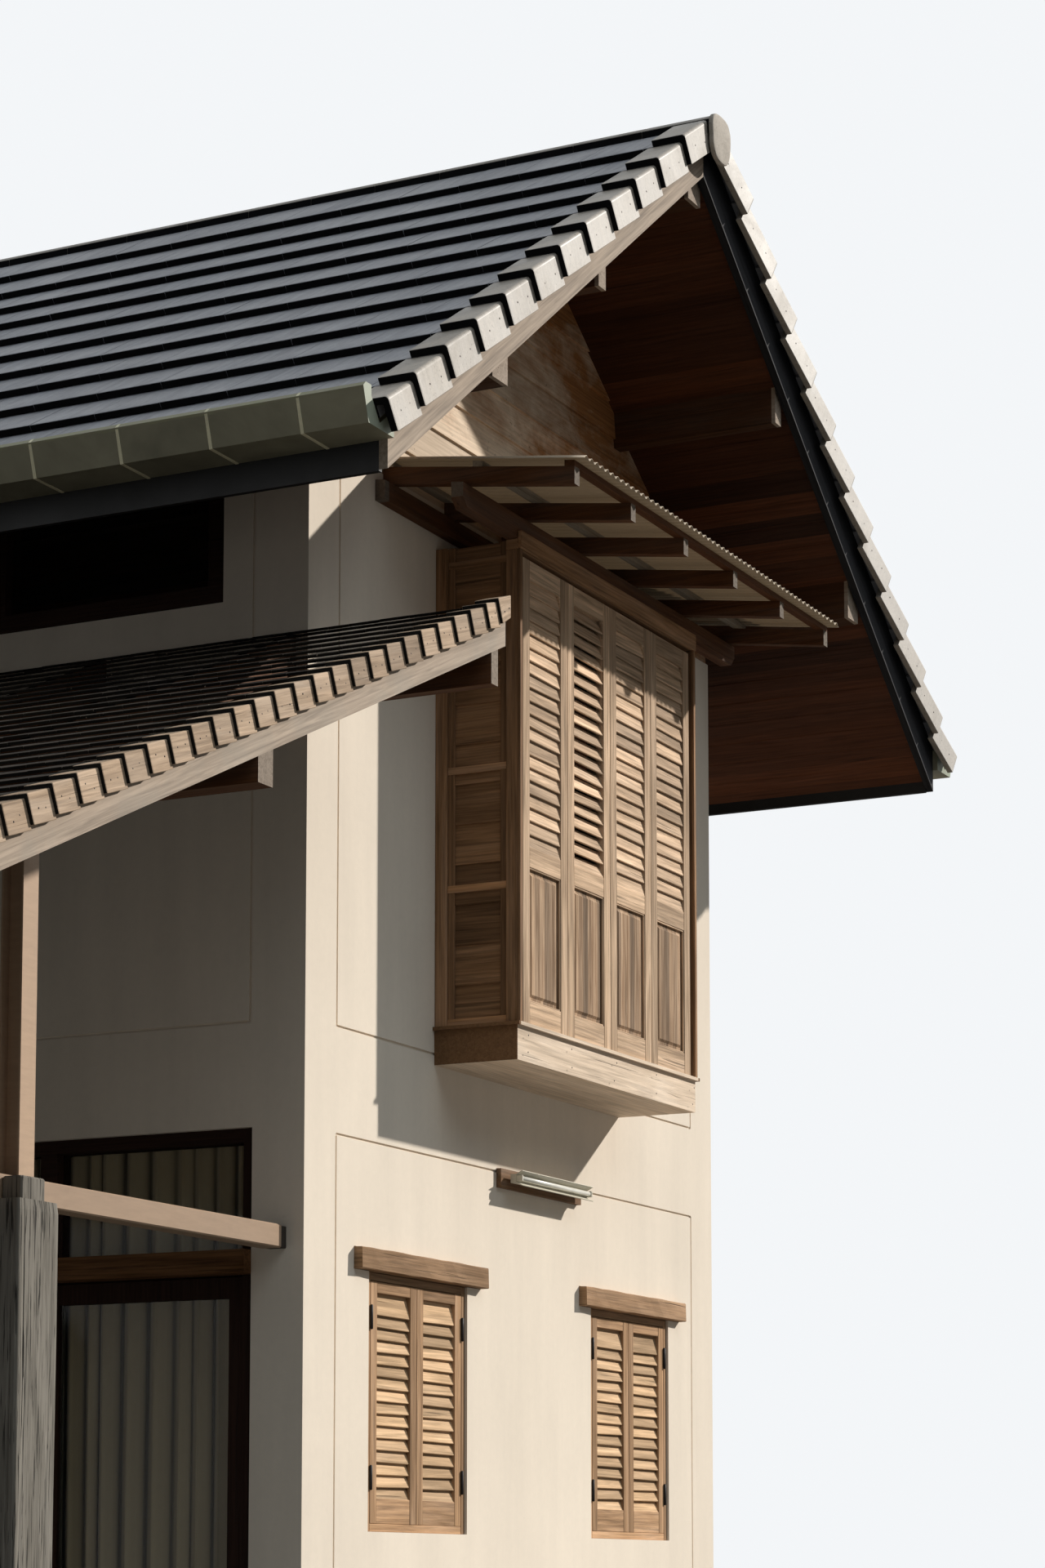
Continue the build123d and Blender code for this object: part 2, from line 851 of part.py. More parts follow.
def canopy_battens():
    """Battens on the rafters, under the sheet."""
    half = canopy_width / 2
    low = canopy_rafter_depth
    high = low + canopy_batten_depth
    first = front - canopy_rafter_reach
    last = front - canopy_batten_width
    places = even_places(first, last, (last - first) / 2)
    return [canopy_strip(y, y + canopy_batten_width, low, high, -half, half) for y in places]


def canopy_sheet():
    """The corrugated sheet, folded across and drawn out down the fall."""
    rise = canopy_rafter_depth + canopy_batten_depth
    fall = radians(canopy_fall)
    origin = (0, front, canopy_height(front, rise))
    plane = Plane(origin=origin, x_dir=(1, 0, 0), z_dir=(0, -cos(fall), -sin(fall)))
    waves = round(canopy_sheet_width / canopy_wave)
    wave = canopy_sheet_width / waves
    flat, crest = canopy_wave_flat, canopy_wave_height
    under = []
    for index in range(waves):
        x = -canopy_sheet_width / 2 + index * wave
        under += [(x, 0), (x + flat * wave, 0), (x + wave / 2, crest), (x + (0.5 + flat) * wave, crest)]
    under.append((canopy_sheet_width / 2, 0))
    upper = [(x, z + canopy_sheet_thickness) for x, z in reversed(under)]
    face = make_face(Polyline(*under, *upper, close=True))
    return [extrude(plane * face, canopy_sheet_reach / cos(fall))]


# Windows.
def window_frame():
    """One window's frame, at its sill centre."""
    half = window_width / 2
    y0 = window_recess
    y1 = window_recess + window_frame_depth
    frame = block(-half, half, y0, y1, 0, window_height)
    edge = window_frame_width
    return frame - block(-half + edge, half - edge, y0, y1, edge, window_height - edge)


def window_leaf(width, height):
    """A window leaf from its lower left outer corner, its closed louvres as one sawtooth board."""
    x0, x1 = window_stile, width - window_stile
    bottom, top = leaf_bottom_rail, height - window_top_rail
    leaf = block(0, width, 0, leaf_thickness, 0, height) - block(x0, x1, 0, leaf_thickness, bottom, top)
    last = top - window_top_louvre
    count = round((last - bottom) / window_louvre_pitch)
    step = (last - bottom) / count
    outline = [(window_louvre_back, bottom)]
    for index in range(count):
        z = bottom + index * step
        outline += [(window_louvre_face, z), (window_louvre_lap, z + step)]
    outline += [(window_louvre_face, last), (window_louvre_lap, top), (window_louvre_back, top)]
    return leaf + along_x(outline, x0, x1)


def window_leaves():
    """The two louvred leaves of one window."""
    clear = window_width - 2 * window_frame_width
    width = (clear - 3 * leaf_gap) / 2
    leaf = window_leaf(width, window_height - 2 * window_frame_width - leaf_gap)
    place = Pos(-clear / 2 + leaf_gap, window_recess, window_frame_width)
    return [place * leaf, place * Pos(width + leaf_gap, 0, 0) * leaf]


def window_lintel():
    """One window's lintel, let into the wall and standing proud of it."""
    bearing = window_width / 2 + lintel_overhang
    top = window_height + lintel_height
    return block(-bearing, bearing, -lintel_reach, lintel_bearing, window_height, top)


def all_window_places():
    """Every louvred window of the house."""
    return [place for side in ("front", "back", "left", "right") for place in window_places(side)]


def window_frames():
    """The frames of all louvred windows."""
    frame = window_frame()
    return [place * frame for place in all_window_places()]


def window_shutters():
    """The leaves of all louvred windows."""
    leaves = window_leaves()
    return [place * leaf for place in all_window_places() for leaf in leaves]


def window_lintels():
    """The lintels of all louvred windows."""
    lintel = window_lintel()
    return [place * lintel for place in all_window_places()]


def strip_lights_y():
    """The y spans of a strip window's lights."""
    edge = strip_frame_width
    clear = (strip_length - (strip_lights + 1) * edge) / strip_lights
    starts = [front + strip_start + edge + index * (clear + edge) for index in range(strip_lights)]
    return [(start, start + clear) for start in starts]


def strip_window_frames():
    """The frames of the two strip windows."""
    x0 = left + strip_recess
    x1 = x0 + strip_frame_depth
    start = front + strip_start
    frame = block(x0, x1, start, start + strip_length, strip_bottom, strip_top)
    edge = strip_frame_width
    for y0, y1 in strip_lights_y():
        frame -= block(x0, x1, y0, y1, strip_bottom + edge, strip_top - edge)
    return left_and_right(frame)


def strip_window_glass():
    """The panes of the two strip windows."""
    x = left + strip_recess + strip_frame_depth / 2
    edge = strip_frame_width
    half = glass_thickness / 2
    panes = []
    for y0, y1 in strip_lights_y():
        panes += left_and_right(block(x - half, x + half, y0, y1, strip_bottom + edge, strip_top - edge))
    return panes


# The lamp.
def lamp_board():
    """The timber board that carries the lamp."""
    x0, x1 = left + lamp_board_start, left + lamp_board_end
    return [block(x0, x1, front - lamp_board_thickness, front, lamp_board_bottom, lamp_board_top)]


def wall_lamp():
    """A batten lamp: a channel body on two feet, a splayed reflector, sockets and a tube."""
    x0 = left + lamp_start
    x1 = x0 + lamp_length
    back = front - lamp_board_thickness
    middle = (lamp_board_bottom + lamp_board_top) / 2
    half = lamp_body_height / 2
    y1 = back - lamp_stand
    y0 = y1 - lamp_body_depth / 2
    reach, skin = lamp_reflector_reach, lamp_reflector_skin
    body = block(x0, x1, y0, y1, middle - half, middle + half)
    tip = half + reach / 2
    for side in (-1, 1):
        wing = [(y0, middle + side * half), (y0 - reach, middle + side * tip)]
        wing += [(y0 - reach, middle + side * (tip - skin)), (y0, middle + side * (half - skin * 2))]
        body += along_x(wing, x0, x1)
    for x in (x0 + lamp_length / 4, x1 - lamp_length / 4):
        body += block(x - half, x + half, y1, back, middle - half / 2, middle + half / 2)
    radius = tube_diameter / 2
    centre = y0 - radius - skin
    low, high = middle - half / 2, middle + half / 2
    for x in (x0, x1 - socket_thickness):
        body += block(x, x + socket_thickness, centre - radius, y0, low, high)
    tube = Pos((x0 + x1) / 2, centre, middle) * Rot(0, 90, 0) * Cylinder(radius, lamp_length - 2)
    return [body + tube]


# The sliding door.
def door_plane(recess):
    """The x of a plane set back from the left wall's outer face."""
    return left + recess


def door_jambs():
    """The door's two jambs."""
    x0 = door_plane(door_frame_recess)
    x1 = x0 + door_frame_depth
    y0, y1 = front + door_start, front + door_end
    spans = ((y0, y0 + door_frame_width), (y1 - door_frame_width, y1))
    return [block(x0, x1, start, end, floor_height, door_head_height) for start, end in spans]


def door_span():
    """The clear span between the jambs."""
    return front + door_start + door_frame_width, front + door_end - door_frame_width


def door_middle():
    """The y where the leaves meet."""
    return (door_span()[0] + door_span()[1]) / 2


def door_head():
    """The head, the transom and the mullion between the upper lights."""
    x0 = door_plane(door_frame_recess)
    x1 = x0 + door_frame_depth
    y0, y1 = door_span()
    head = block(x0, x1, y0, y1, transom_bottom, door_head_height)
    for start, end in upper_lights():
        head -= block(x0, x1, start, end, transom_top, door_head_height - door_frame_width)
    return [head]


def upper_lights():
    """The y spans of the lights over the transom."""
    y0, y1 = door_span()
    half = mullion_width / 2
    return (y0, door_middle() - half), (door_middle() + half, y1)


def door_sill():
    """The door's sill with the rail that the sliding leaf runs on."""
    x0 = door_plane(door_frame_recess)
    y0, y1 = door_span()
    top = floor_height + door_sill_height
    sill = block(x0, x0 + door_frame_depth, y0, y1, floor_height, top)
    middle = sliding_plane() + door_leaf_thickness / 2
    half = track_width / 2
    return [sill + block(middle - half, middle + half, y0, y1, top, top + track_height)]


def sliding_plane():
    """The outer face of the sliding leaf."""
    return door_plane(door_frame_recess) + door_leaf_thickness / 2


def fixed_plane():
    """The outer face of the fixed leaf, behind the sliding one."""
    return sliding_plane() + door_leaf_thickness + door_track_gap


def leaf_ring(x, y0, y1, z0, z1):
    """A glazed leaf's stiles and rails."""
    leaf = block(x, x + door_leaf_thickness, y0, y1, z0, z1)
    stile, rail = door_leaf_stile, door_leaf_rail
    return leaf - block(x, x + door_leaf_thickness, y0 + stile, y1 - stile, z0 + rail, z1 - rail)


def leaf_pane(x, y0, y1, z0, z1):
    """The pane of a glazed leaf."""
    middle = x + door_leaf_thickness / 2
    stile, rail, half = door_leaf_stile, door_leaf_rail, glass_thickness / 2
    return block(middle - half, middle + half, y0 + stile, y1 - stile, z0 + rail, z1 - rail)


def sliding_box():
    """The sliding leaf's place when it is shut."""
    bottom = floor_height + door_sill_height + track_height + leaf_clearance
    top = transom_bottom - leaf_clearance
    start = door_span()[0] + leaf_clearance
    return sliding_plane(), start, door_middle() + door_leaf_overlap / 2, bottom, top


def fixed_box():
    """The fixed leaf's place."""
    bottom = floor_height + door_sill_height
    return fixed_plane(), door_middle() - door_leaf_overlap / 2, door_span()[1], bottom, transom_bottom


def sliding_door_leaf():
    """The sliding leaf with the two rollers that carry it."""
    x, y0, y1, z0, z1 = sliding_box()
    leaf = leaf_ring(x, y0, y1, z0, z1)
    axle = z0 - leaf_clearance + roller_clearance + roller_radius
    for y in (y0 + door_leaf_stile * 2, y1 - door_leaf_stile * 2):
        wheel = Rot(0, 90, 0) * Cylinder(roller_radius, track_width * 2)
        leaf += Pos(x + door_leaf_thickness / 2, y, axle) * wheel
    return [leaf]


def fixed_door_leaf():
    """The leaf that stays."""
    return [leaf_ring(*fixed_box())]


def sliding_door_glass():
    """The sliding leaf's pane."""
    return [leaf_pane(*sliding_box())]


def fixed_door_glass():
    """The fixed leaf's pane and the lights over the transom."""
    x = door_plane(door_frame_recess) + door_frame_depth / 2
    half = glass_thickness / 2
    panes = [leaf_pane(*fixed_box())]
    for y0, y1 in upper_lights():
        panes.append(block(x - half, x + half, y0, y1, transom_top, door_head_height - door_frame_width))
    return panes


def door_pelmet():
    """The board that stands out over the door leaves."""
    x0 = left - pelmet_reach
    x1 = door_plane(door_frame_recess)
    return [block(x0, x1, front + door_start, front + door_end, pelmet_bottom, pelmet_top)]


def curtain_track():
    """The curtain track on the wall over the door."""
    y0 = front + door_start - curtain_overlap
    y1 = front + door_end + curtain_overlap
    z1 = door_head_height + curtain_track_height * 2
    return [block(-inside, -inside + curtain_track_depth, y0, y1, z1 - curtain_track_height, z1)]


def curtains():
    """Two curtains that hang from the track, as plain slabs."""
    y0 = front + door_start - curtain_overlap + curtain_gap
    y1 = front + door_end + curtain_overlap - curtain_gap
    middle = (y0 + y1) / 2
    x1 = -inside + curtain_track_depth - 1
    x0 = x1 - curtain_thickness
    top = door_head_height + curtain_track_height - curtain_clearance
    spans = ((y0, middle - curtain_gap / 2), (middle + curtain_gap / 2, y1))
    return [block(x0, x1, start, end, floor_height + curtain_hem, top) for start, end in spans]


# The lean-to porch.
def porch_height(x, rise):
    """The height at x of a layer of the porch roof, its rise taken square off the slope."""
    return porch_barge_height + (x - left) * porch_slope + rise / cos(radians(porch_pitch))


def porch_point(along, rise):
    """A point (x, z) of the porch roof: down it from the wall, and square off it."""
    turn = radians(porch_pitch)
    x = left - along * cos(turn) - rise * sin(turn)
    return x, porch_barge_height - along * sin(turn) + rise * cos(turn)


def porch_layer(x0, x1, low, high, y0, y1):
    """A layer of the porch roof with plumb ends."""
    outline = [(x0, porch_height(x0, low)), (x1, porch_height(x1, low))]
    outline += [(x1, porch_height(x1, high)), (x0, porch_height(x0, high))]
    return along_y(outline, y0, y1)


def porch_courses():
    """Where each course of the porch roof ends, measured down the slope from the wall."""
    first = porch_cap_course + porch_top_course
    count = round((porch_reach / cos(radians(porch_pitch)) - first) / porch_course)
    return [porch_cap_course] + [first + index * porch_course for index in range(count + 1)]


def porch_shingles():
    """The shingles: a sawtooth section, one tooth a course."""
    base = porch_barge_depth
    top = base + porch_shingle_thickness
    outline = [(left, porch_height(left, base)), (left, porch_height(left, top))]
    for along in porch_courses():
        outline += [porch_point(along, top + porch_shingle_butt), porch_point(along, top)]
    outline[-1] = porch_point(porch_courses()[-1], base)
    end = porch_front - porch_shingle_overhang
    return [along_y(outline, end, -end)]


def porch_rafters():
    """Rafters under the shingles, on the porch's beams."""
    half = porch_rafter_width / 2
    start = porch_front + porch_barge_thickness + half
    pieces = []
    for y in even_places(start, -start, porch_rafter_spacing):
        pieces.append(porch_layer(left - porch_reach, left, 0, porch_barge_depth, y - half, y + half))
    return pieces


def porch_barge_boards():
    """A barge board at each end of the porch roof."""
    inner = porch_front + porch_barge_thickness
    return front_and_back(porch_layer(left - porch_reach, left, 0, porch_barge_depth, porch_front, inner))


def porch_barge_blocks():
    """Angled blocks along each end of the shingles, one a course, cut plumb at the wall."""
    section = angle_section(porch_block_thickness, porch_block_arm, porch_block_leg, porch_block_bevel)
    seat = porch_front - porch_shingle_overhang - porch_block_clearance - porch_block_thickness
    top = porch_barge_depth + porch_shingle_thickness + porch_block_lift + porch_block_thickness
    ends = porch_courses()
    run = None
    for high, low in zip([ends[0] - porch_course] + ends, ends):
        x0, z0 = porch_point(low, top + porch_shingle_butt)
        x1, z1 = porch_point(high, top)
        lower, upper = (x0, seat - porch_block_step, z0), (x1, seat, z1)
        tile = sloping_tile(section, lower, upper, radians(porch_pitch))
        run = tile if run is None else run + tile
    run &= block(left - 2 * porch_reach, left, 2 * front, 0, 0, ridge_cap_top)
    return front_and_back(run)


def porch_purlins():
    """The purlin by the wall on its packers, the beam over the posts and the eave beam."""
    end = porch_front
    x1 = left - wall_purlin_gap
    x0 = x1 - wall_purlin_width
    bottom = porch_height(x0, 0) - wall_purlin_depth
    wall_purlin = along_y(porch_beam_outline(x0, x1, bottom), end, -end)
    for y in even_places(inner_front, -inner_front, porch_rafter_spacing * 2):
        half = porch_rafter_width / 2
        wall_purlin += block(x1, left, y - half, y + half, bottom, bottom + wall_packer_height)
    half = post_beam_width / 2
    beams = []
    for x, bottom in steel_post_places():
        beams.append(along_y(porch_beam_outline(x - half, x + half, bottom), end, -end))
    return [wall_purlin] + beams


def porch_beam_outline(x0, x1, bottom):
    """A porch beam's section, flat below and bevelled to the rafters above."""
    return [(x0, bottom), (x1, bottom), (x1, porch_height(x1, 0)), (x0, porch_height(x0, 0))]


def post_rows():
    """The y of each row of posts."""
    first = front + post_line
    return even_places(first, -first, -2 * first / (steel_post_rows - 1))


def beam_section():
    """The H section of the steel, flanges above and below, centred."""
    half = steel_size / 2
    ring = Rectangle(steel_size, steel_size)
    side = steel_size - 2 * steel_flange
    notch = Rectangle((steel_size - steel_web) / 2, side)
    offset = half - (steel_size - steel_web) / 4
    return ring - Pos(-offset, 0) * notch - Pos(offset, 0) * notch


def steel_post_places():
    """Each steel post's x, and the height of the beam that it carries."""
    half = post_beam_width / 2
    post_x, eave_x = left - post_beam_place, left - eave_beam_place
    post_bottom = porch_height(post_x - half, 0) - post_beam_depth
    eave_bottom = porch_height(eave_x - half, 0) - eave_beam_depth
    return (post_x, post_bottom), (eave_x, eave_bottom)


def steel_posts():
    """The steel posts between the steel beams and the roof's beams."""
    pieces = []
    for y in post_rows():
        for x, top in steel_post_places():
            plane = Plane(origin=(x, y, steel_beam_top), x_dir=(1, 0, 0), z_dir=(0, 0, 1))
            pieces.append(extrude(plane * beam_section(), top - steel_beam_top))
    return pieces


def timber_post_places():
    """The x of the inner and the outer timber post of a row."""
    offset = timber_post_centre - post_beam_place
    return left - timber_post_centre, left - eave_beam_place - offset


def steel_beams():
    """The steel beams from the wall over the timber posts."""
    length = eave_beam_place + timber_post_size
    middle = steel_beam_bottom + steel_size / 2
    pieces = []
    for y in post_rows():
        plane = Plane(origin=(left, y, middle), x_dir=(0, 1, 0), z_dir=(-1, 0, 0))
        pieces.append(extrude(plane * beam_section(), length))
    return pieces


def timber_posts():
    """The timber posts, each with a tongue in front of the steel beam."""
    half = timber_post_size / 2
    pieces = []
    for y in post_rows():
        for x in timber_post_places():
            middle = y - timber_post_forward
            post = block(x - half, x + half, middle - half, middle + half, 0, timber_post_top)
            y1 = y - steel_size / 2
            y0 = y1 - tongue_thickness
            reach = tongue_width / 2
            tongue = block(x - reach, x + reach, y0, y1, timber_post_top, tongue_top)
            pieces.append(post + tongue)
    return pieces


nodes = [
    ground_slab, upper_floor, door_step, front_wall, back_wall, right_wall,
    left_wall_corner, left_wall_rear, left_wall_upper, gable_boarding,
    roof_purlins, ridge_beam, soffit_boards, rafters, roof_tiles_left, roof_tiles_right,
    ridge_tiles, barge_boards, barge_tiles, fascias, gutters,
    bay_base, bay_frame, bay_sides, bay_shutters,
    canopy_beams, canopy_rafters, canopy_battens, canopy_sheet,
    window_frames, window_shutters, window_lintels, strip_window_frames, strip_window_glass,
    lamp_board, wall_lamp,
    door_jambs, door_head, door_sill, fixed_door_leaf, sliding_door_leaf,
    fixed_door_glass, sliding_door_glass, door_pelmet, curtain_track, curtains,
    porch_shingles, porch_rafters, porch_barge_boards, porch_barge_blocks, porch_purlins,
    steel_posts, steel_beams, timber_posts,
]

os.makedirs("parts", exist_ok=True)
for node in nodes:
    solids = [solid for shape in node() for solid in shape.solids()]
    export_step(Compound(solids), f"parts/{node.__name__}.step")
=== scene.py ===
from math import cos, pi, radians, sin, tan

import bpy
import numpy as np
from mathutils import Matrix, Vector


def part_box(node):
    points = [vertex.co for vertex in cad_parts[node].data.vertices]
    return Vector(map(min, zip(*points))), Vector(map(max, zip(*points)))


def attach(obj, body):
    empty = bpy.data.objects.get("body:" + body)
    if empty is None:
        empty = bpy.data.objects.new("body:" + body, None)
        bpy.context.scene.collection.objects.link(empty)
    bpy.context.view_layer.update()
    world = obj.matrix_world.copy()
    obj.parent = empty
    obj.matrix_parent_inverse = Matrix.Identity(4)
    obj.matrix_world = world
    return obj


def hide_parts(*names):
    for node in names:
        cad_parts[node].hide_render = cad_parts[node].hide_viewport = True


bl_info = {
    "name": "Villa with a louvred bay",
    "version": (1, 0, 0),
    "blender": (4, 5, 0),
    "location": "View3D > Sidebar > Villa",
    "description": "Lays the villa's tiles, shingles, shutters and curtains and gives its parts their finishes",
    "category": "Object",
}

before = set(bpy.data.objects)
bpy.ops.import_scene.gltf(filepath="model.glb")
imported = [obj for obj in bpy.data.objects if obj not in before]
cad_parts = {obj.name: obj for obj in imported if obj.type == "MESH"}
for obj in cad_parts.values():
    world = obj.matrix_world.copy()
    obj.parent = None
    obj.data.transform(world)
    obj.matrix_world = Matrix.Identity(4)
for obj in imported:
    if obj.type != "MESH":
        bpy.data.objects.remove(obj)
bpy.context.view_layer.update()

# The house's own lines, in metres and radians.
LEFT, FRONT = -2.185, -4.0  # faces of the left wall and of the front gable
EAVE, BARGE_TIP = -3.182, 5.432
PITCH, PORCH_PITCH = radians(37), radians(24.24)
TILE_TOP, TILE_BUTT = 0.220, 0.034  # over the slope's line, and the step at each course
BARGE_TILE_TOP, BARGE_TILE_FRONT, BARGE_TILE_STEP = 0.252, -5.001, 0.026
RIDGE_EDGE = 0.108
BAY_FRONT, BAY_FOOT, BAY_HEAD = FRONT - 0.427, 3.560, 5.745
CANOPY_HALF, CANOPY_WAVES = 1.535, 56
CANOPY_PITCH, CANOPY_FALL = 2 * CANOPY_HALF / CANOPY_WAVES, radians(8)
PORCH_FOOT, PORCH_TOP, PORCH_BUTT = 4.948, 0.174, 0.016
PORCH_BLOCK_FRONT, PORCH_BLOCK_STEP = -4.985, 0.015
PORCH_COURSE = 0.157
POST_LINES = (-3.88, 0.0, 3.88)
POSTS = [(x, y) for y in POST_LINES for x in (LEFT - 2.046, LEFT - 3.882)]
# Near black that the materials paint on faces marked butt: painted shade on the butts, which turn from the light.
PAINTED_BUTT_SHADE = (0.008, 0.007, 0.006)


def slope_point(along, rise):
    """x and z (..., 2) on the left slope: EAVE + along cos - rise sin, and BARGE_TIP + along sin + rise cos."""
    c, s = cos(PITCH), sin(PITCH)
    return np.stack([EAVE + along * c - rise * s, BARGE_TIP + along * s + rise * c], -1)


def porch_point(along, rise):
    """x and z (..., 2) on the porch roof, along measured down from the wall and rise square off the slope."""
    c, s = cos(PORCH_PITCH), sin(PORCH_PITCH)
    return np.stack([LEFT - along * c - rise * s, PORCH_FOOT - along * s + rise * c], -1)


def tile_courses():
    """Where each course of roof tiles starts up the slope. The last two share what is left."""
    edge = (-EAVE - RIDGE_EDGE + BARGE_TILE_TOP * sin(PITCH)) / cos(PITCH)
    starts = [0.008, 0.296]
    while edge - starts[-1] > 0.83:
        starts.append(starts[-1] + 0.332)
    return np.array(starts + [(starts[-1] + edge) / 2]), edge


def porch_courses():
    """Where each course of the porch roof ends, down the slope from the wall."""
    return np.array([0.062] + [0.185 + PORCH_COURSE * course for course in range(28)])


def rafter_line(y):
    """The height of the canopy's rafters at y."""
    return 5.848 + (y - FRONT + 0.964) * tan(CANOPY_FALL)


# Meshes from whole arrays.
def mesh_piece(name, points, faces, material, corners=None, marks=None, smooth=False):
    """A mesh object from points (n, 3) and groups of faces with the same number of corners."""
    def flat(groups, kind):
        return np.concatenate([np.ravel(group) for group in groups]).astype(kind)

    mesh = bpy.data.meshes.new(name)
    points = np.asarray(points, np.float32).reshape(-1, 3)
    sizes = np.concatenate([np.full(len(group), group.shape[1]) for group in faces])
    mesh.vertices.add(len(points))
    mesh.vertices.foreach_set("co", points.ravel())
    mesh.loops.add(int(sizes.sum()))
    mesh.loops.foreach_set("vertex_index", flat(faces, np.int32))
    mesh.polygons.add(len(sizes))
    mesh.polygons.foreach_set("loop_start", (np.cumsum(sizes) - sizes).astype(np.int32))
    mesh.polygons.foreach_set("use_smooth", np.full(len(sizes), smooth))
    mesh.update(calc_edges=True)
    if corners is not None:
        mesh.uv_layers.new(name="UVMap").data.foreach_set("uv", flat(corners, np.float32))
    for key, groups in (marks or {}).items():
        mesh.attributes.new(key, "FLOAT", "FACE").data.foreach_set("value", flat(groups, np.float32))
    mesh.materials.append(material)
    piece = bpy.data.objects.new(name, mesh)
    bpy.context.scene.collection.objects.link(piece)
    return piece


def settle(piece, slot, *replaces):
    """Makes a piece ride on the house and hides the solids that it stands for; slot is not used."""
    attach(piece, "house")
    if replaces:
        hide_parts(*replaces)


def lay(name, rings, material, seed, slot, *replaces, smooth=False, painted_shade_sides=(), painted_shade_end=False):
    """Closed bars, one for each b, from rings (b, m, n, 3): quads between rings and a cap at each end.

    A ring that runs clockwise about its path is turned round. The UV is metres along and round the bar,
    shifted for each bar, tone is one number a bar, and butt is 1 on the sides named and on the first end.
    The materials paint the faces marked butt dark, as shade.
    """
    def run(steps):
        lengths = np.cumsum(np.linalg.norm(steps, axis=-1), axis=1)
        return np.concatenate([np.zeros((len(steps), 1)), lengths], 1)

    rings = np.array(rings, float)
    first = rings[:, 0]
    area = np.cross(first, np.roll(first, -1, axis=1)).sum(axis=1)
    way = rings[:, 1].mean(axis=1) - first.mean(axis=1)
    turned_round = (area * way).sum(axis=1) < 0
    rings[turned_round] = rings[turned_round][:, :, ::-1]
    b, m, n, _ = rings.shape
    index = np.arange(b * m * n).reshape(b, m, n)
    after = np.roll(index, -1, axis=2)
    quads = np.stack([index[:, :-1], after[:, :-1], after[:, 1:], index[:, 1:]], -1)
    caps = np.stack([index[:, 0, ::-1], index[:, -1]], 1)
    chance = np.random.default_rng(seed)
    shift = chance.random((b, 2)) * 20
    half_way = rings[:, m // 2]
    u = run(np.diff(rings.mean(axis=2), axis=1)) + shift[:, :1]
    v = run(np.roll(half_way, -1, axis=1) - half_way) + shift[:, 1:]
    uv = joined(u[:, :, None], v[:, None])
    side_uv = np.stack([uv[:, :-1, :-1], uv[:, :-1, 1:], uv[:, 1:, 1:], uv[:, 1:, :-1]], 3)
    ends = np.stack([rings[:, 0, ::-1], rings[:, -1]], 1)
    cap_uv = np.stack([ends[..., 0] + ends[..., 1], ends[..., 2]], -1)
    shade = chance.random(b)
    column = np.arange(n)
    marked = np.where(turned_round[:, None], np.isin((n - 2 - column) % n, painted_shade_sides), np.isin(column, painted_shade_sides))
    marks = {"tone": [np.repeat(shade, (m - 1) * n), np.repeat(shade, 2)],
             "butt": [np.repeat(marked[:, None], m - 1, axis=1), np.tile([float(painted_shade_end), 0.0], b)]}
    faces = [quads.reshape(-1, 4), caps.reshape(-1, n)]
    settle(mesh_piece(name, rings, faces, material, [side_uv, cap_uv], marks, smooth), slot, *replaces)


def board_rings(start, end, side, depth, bevel):
    """Rings (b, 4, 8, 3) of straight boards with all edges bevelled.

    A ring is centre + side p + depth q, where (p, q) goes round a square of half width 1 with cut corners,
    and the first and last rings are drawn in by the bevel.
    """
    length, wide, thick = (np.linalg.norm(x, axis=1, keepdims=True) for x in (end - start, side, depth))
    along = (end - start) / length
    cut = np.minimum(bevel, 0.4 * np.minimum(wide, thick))
    one = np.ones_like(cut)
    cs, cd = 1 - cut / wide, 1 - cut / thick
    p = np.concatenate([one, cs, -cs, -one, -one, -cs, cs, one], 1)[:, None, :, None]
    q = np.concatenate([cd, one, one, cd, -cd, -one, -one, -cd], 1)[:, None, :, None]
    place = np.concatenate([0 * cut, cut, length - cut, length], 1)[:, :, None, None]
    drawn = np.array([1.0, 0.0, 0.0, 1.0])[:, None, None] * cut[:, :, None, None]
    wide, thick = wide[:, :, None, None], thick[:, :, None, None]
    across = side[:, None, None] * p * (1 - drawn / wide) + depth[:, None, None] * q * (1 - drawn / thick)
    return start[:, None, None] + along[:, None, None] * place + across


class Boards:
    """A list of straight boards, each a start, an end, a half width and a half thickness."""

    def __init__(self):
        self.rows = []

    def add(self, *row):
        self.rows.append(row)

    def bar(self, low, high, axis):
        """A board that fills the box from low to high, its length on the named axis."""
        low, high = np.minimum(low, high).astype(float), np.maximum(low, high).astype(float)
        middle, half = (low + high) / 2, np.diag((high - low) / 2)
        self.add(middle - half[axis], middle + half[axis], *np.delete(half, axis, axis=0))

    def rings(self, bevel=0.002):
        return board_rings(*(np.array(part, float) for part in zip(*self.rows)), bevel)


def joined(*axes):
    """Points (..., 3) from x, y and z, or (..., 2) from two numbers, spread to one shape."""
    return np.stack(np.broadcast_arrays(*axes), -1)


def carried(section, y0, y1):
    """Rings (b, 2, n, 3) of sections (b, n, 2) in x and z, carried from y0 to y1."""
    x, z = np.moveaxis(section[:, None], -1, 0)
    return joined(x, joined(y0, y1)[..., None], z)


def turned(points, radii, places, axis, count=10):
    """Rings (b, m, count, 3) of turned shapes about points: a circle of each radius at each place on the axis."""
    turn = np.linspace(0, 2 * pi, count, endpoint=False)
    unit = np.eye(3)
    first, second = np.delete(unit, axis, axis=0)
    disc = np.cos(turn)[:, None] * first + np.sin(turn)[:, None] * second
    radii, places = (np.array(x)[:, None, None] for x in (radii, places))
    return np.array(points)[:, None, None] + disc * radii + places * unit[axis]


def nails(points, radius, height=0.0016):
    """Domed nail heads that face the front."""
    return turned(points, radius * np.array([1.0, 0.8, 0.35]), [0.0008, -0.6 * height, -height], 1, 8)


def both_sides(rings):
    """The rings and their twins across the ridge."""
    return np.concatenate([rings, rings * np.array([-1.0, 1.0, 1.0])])


def both_gables(rings):
    """The rings and their twins at the other gable."""
    return np.concatenate([rings, rings * np.array([1.0, -1.0, 1.0])])


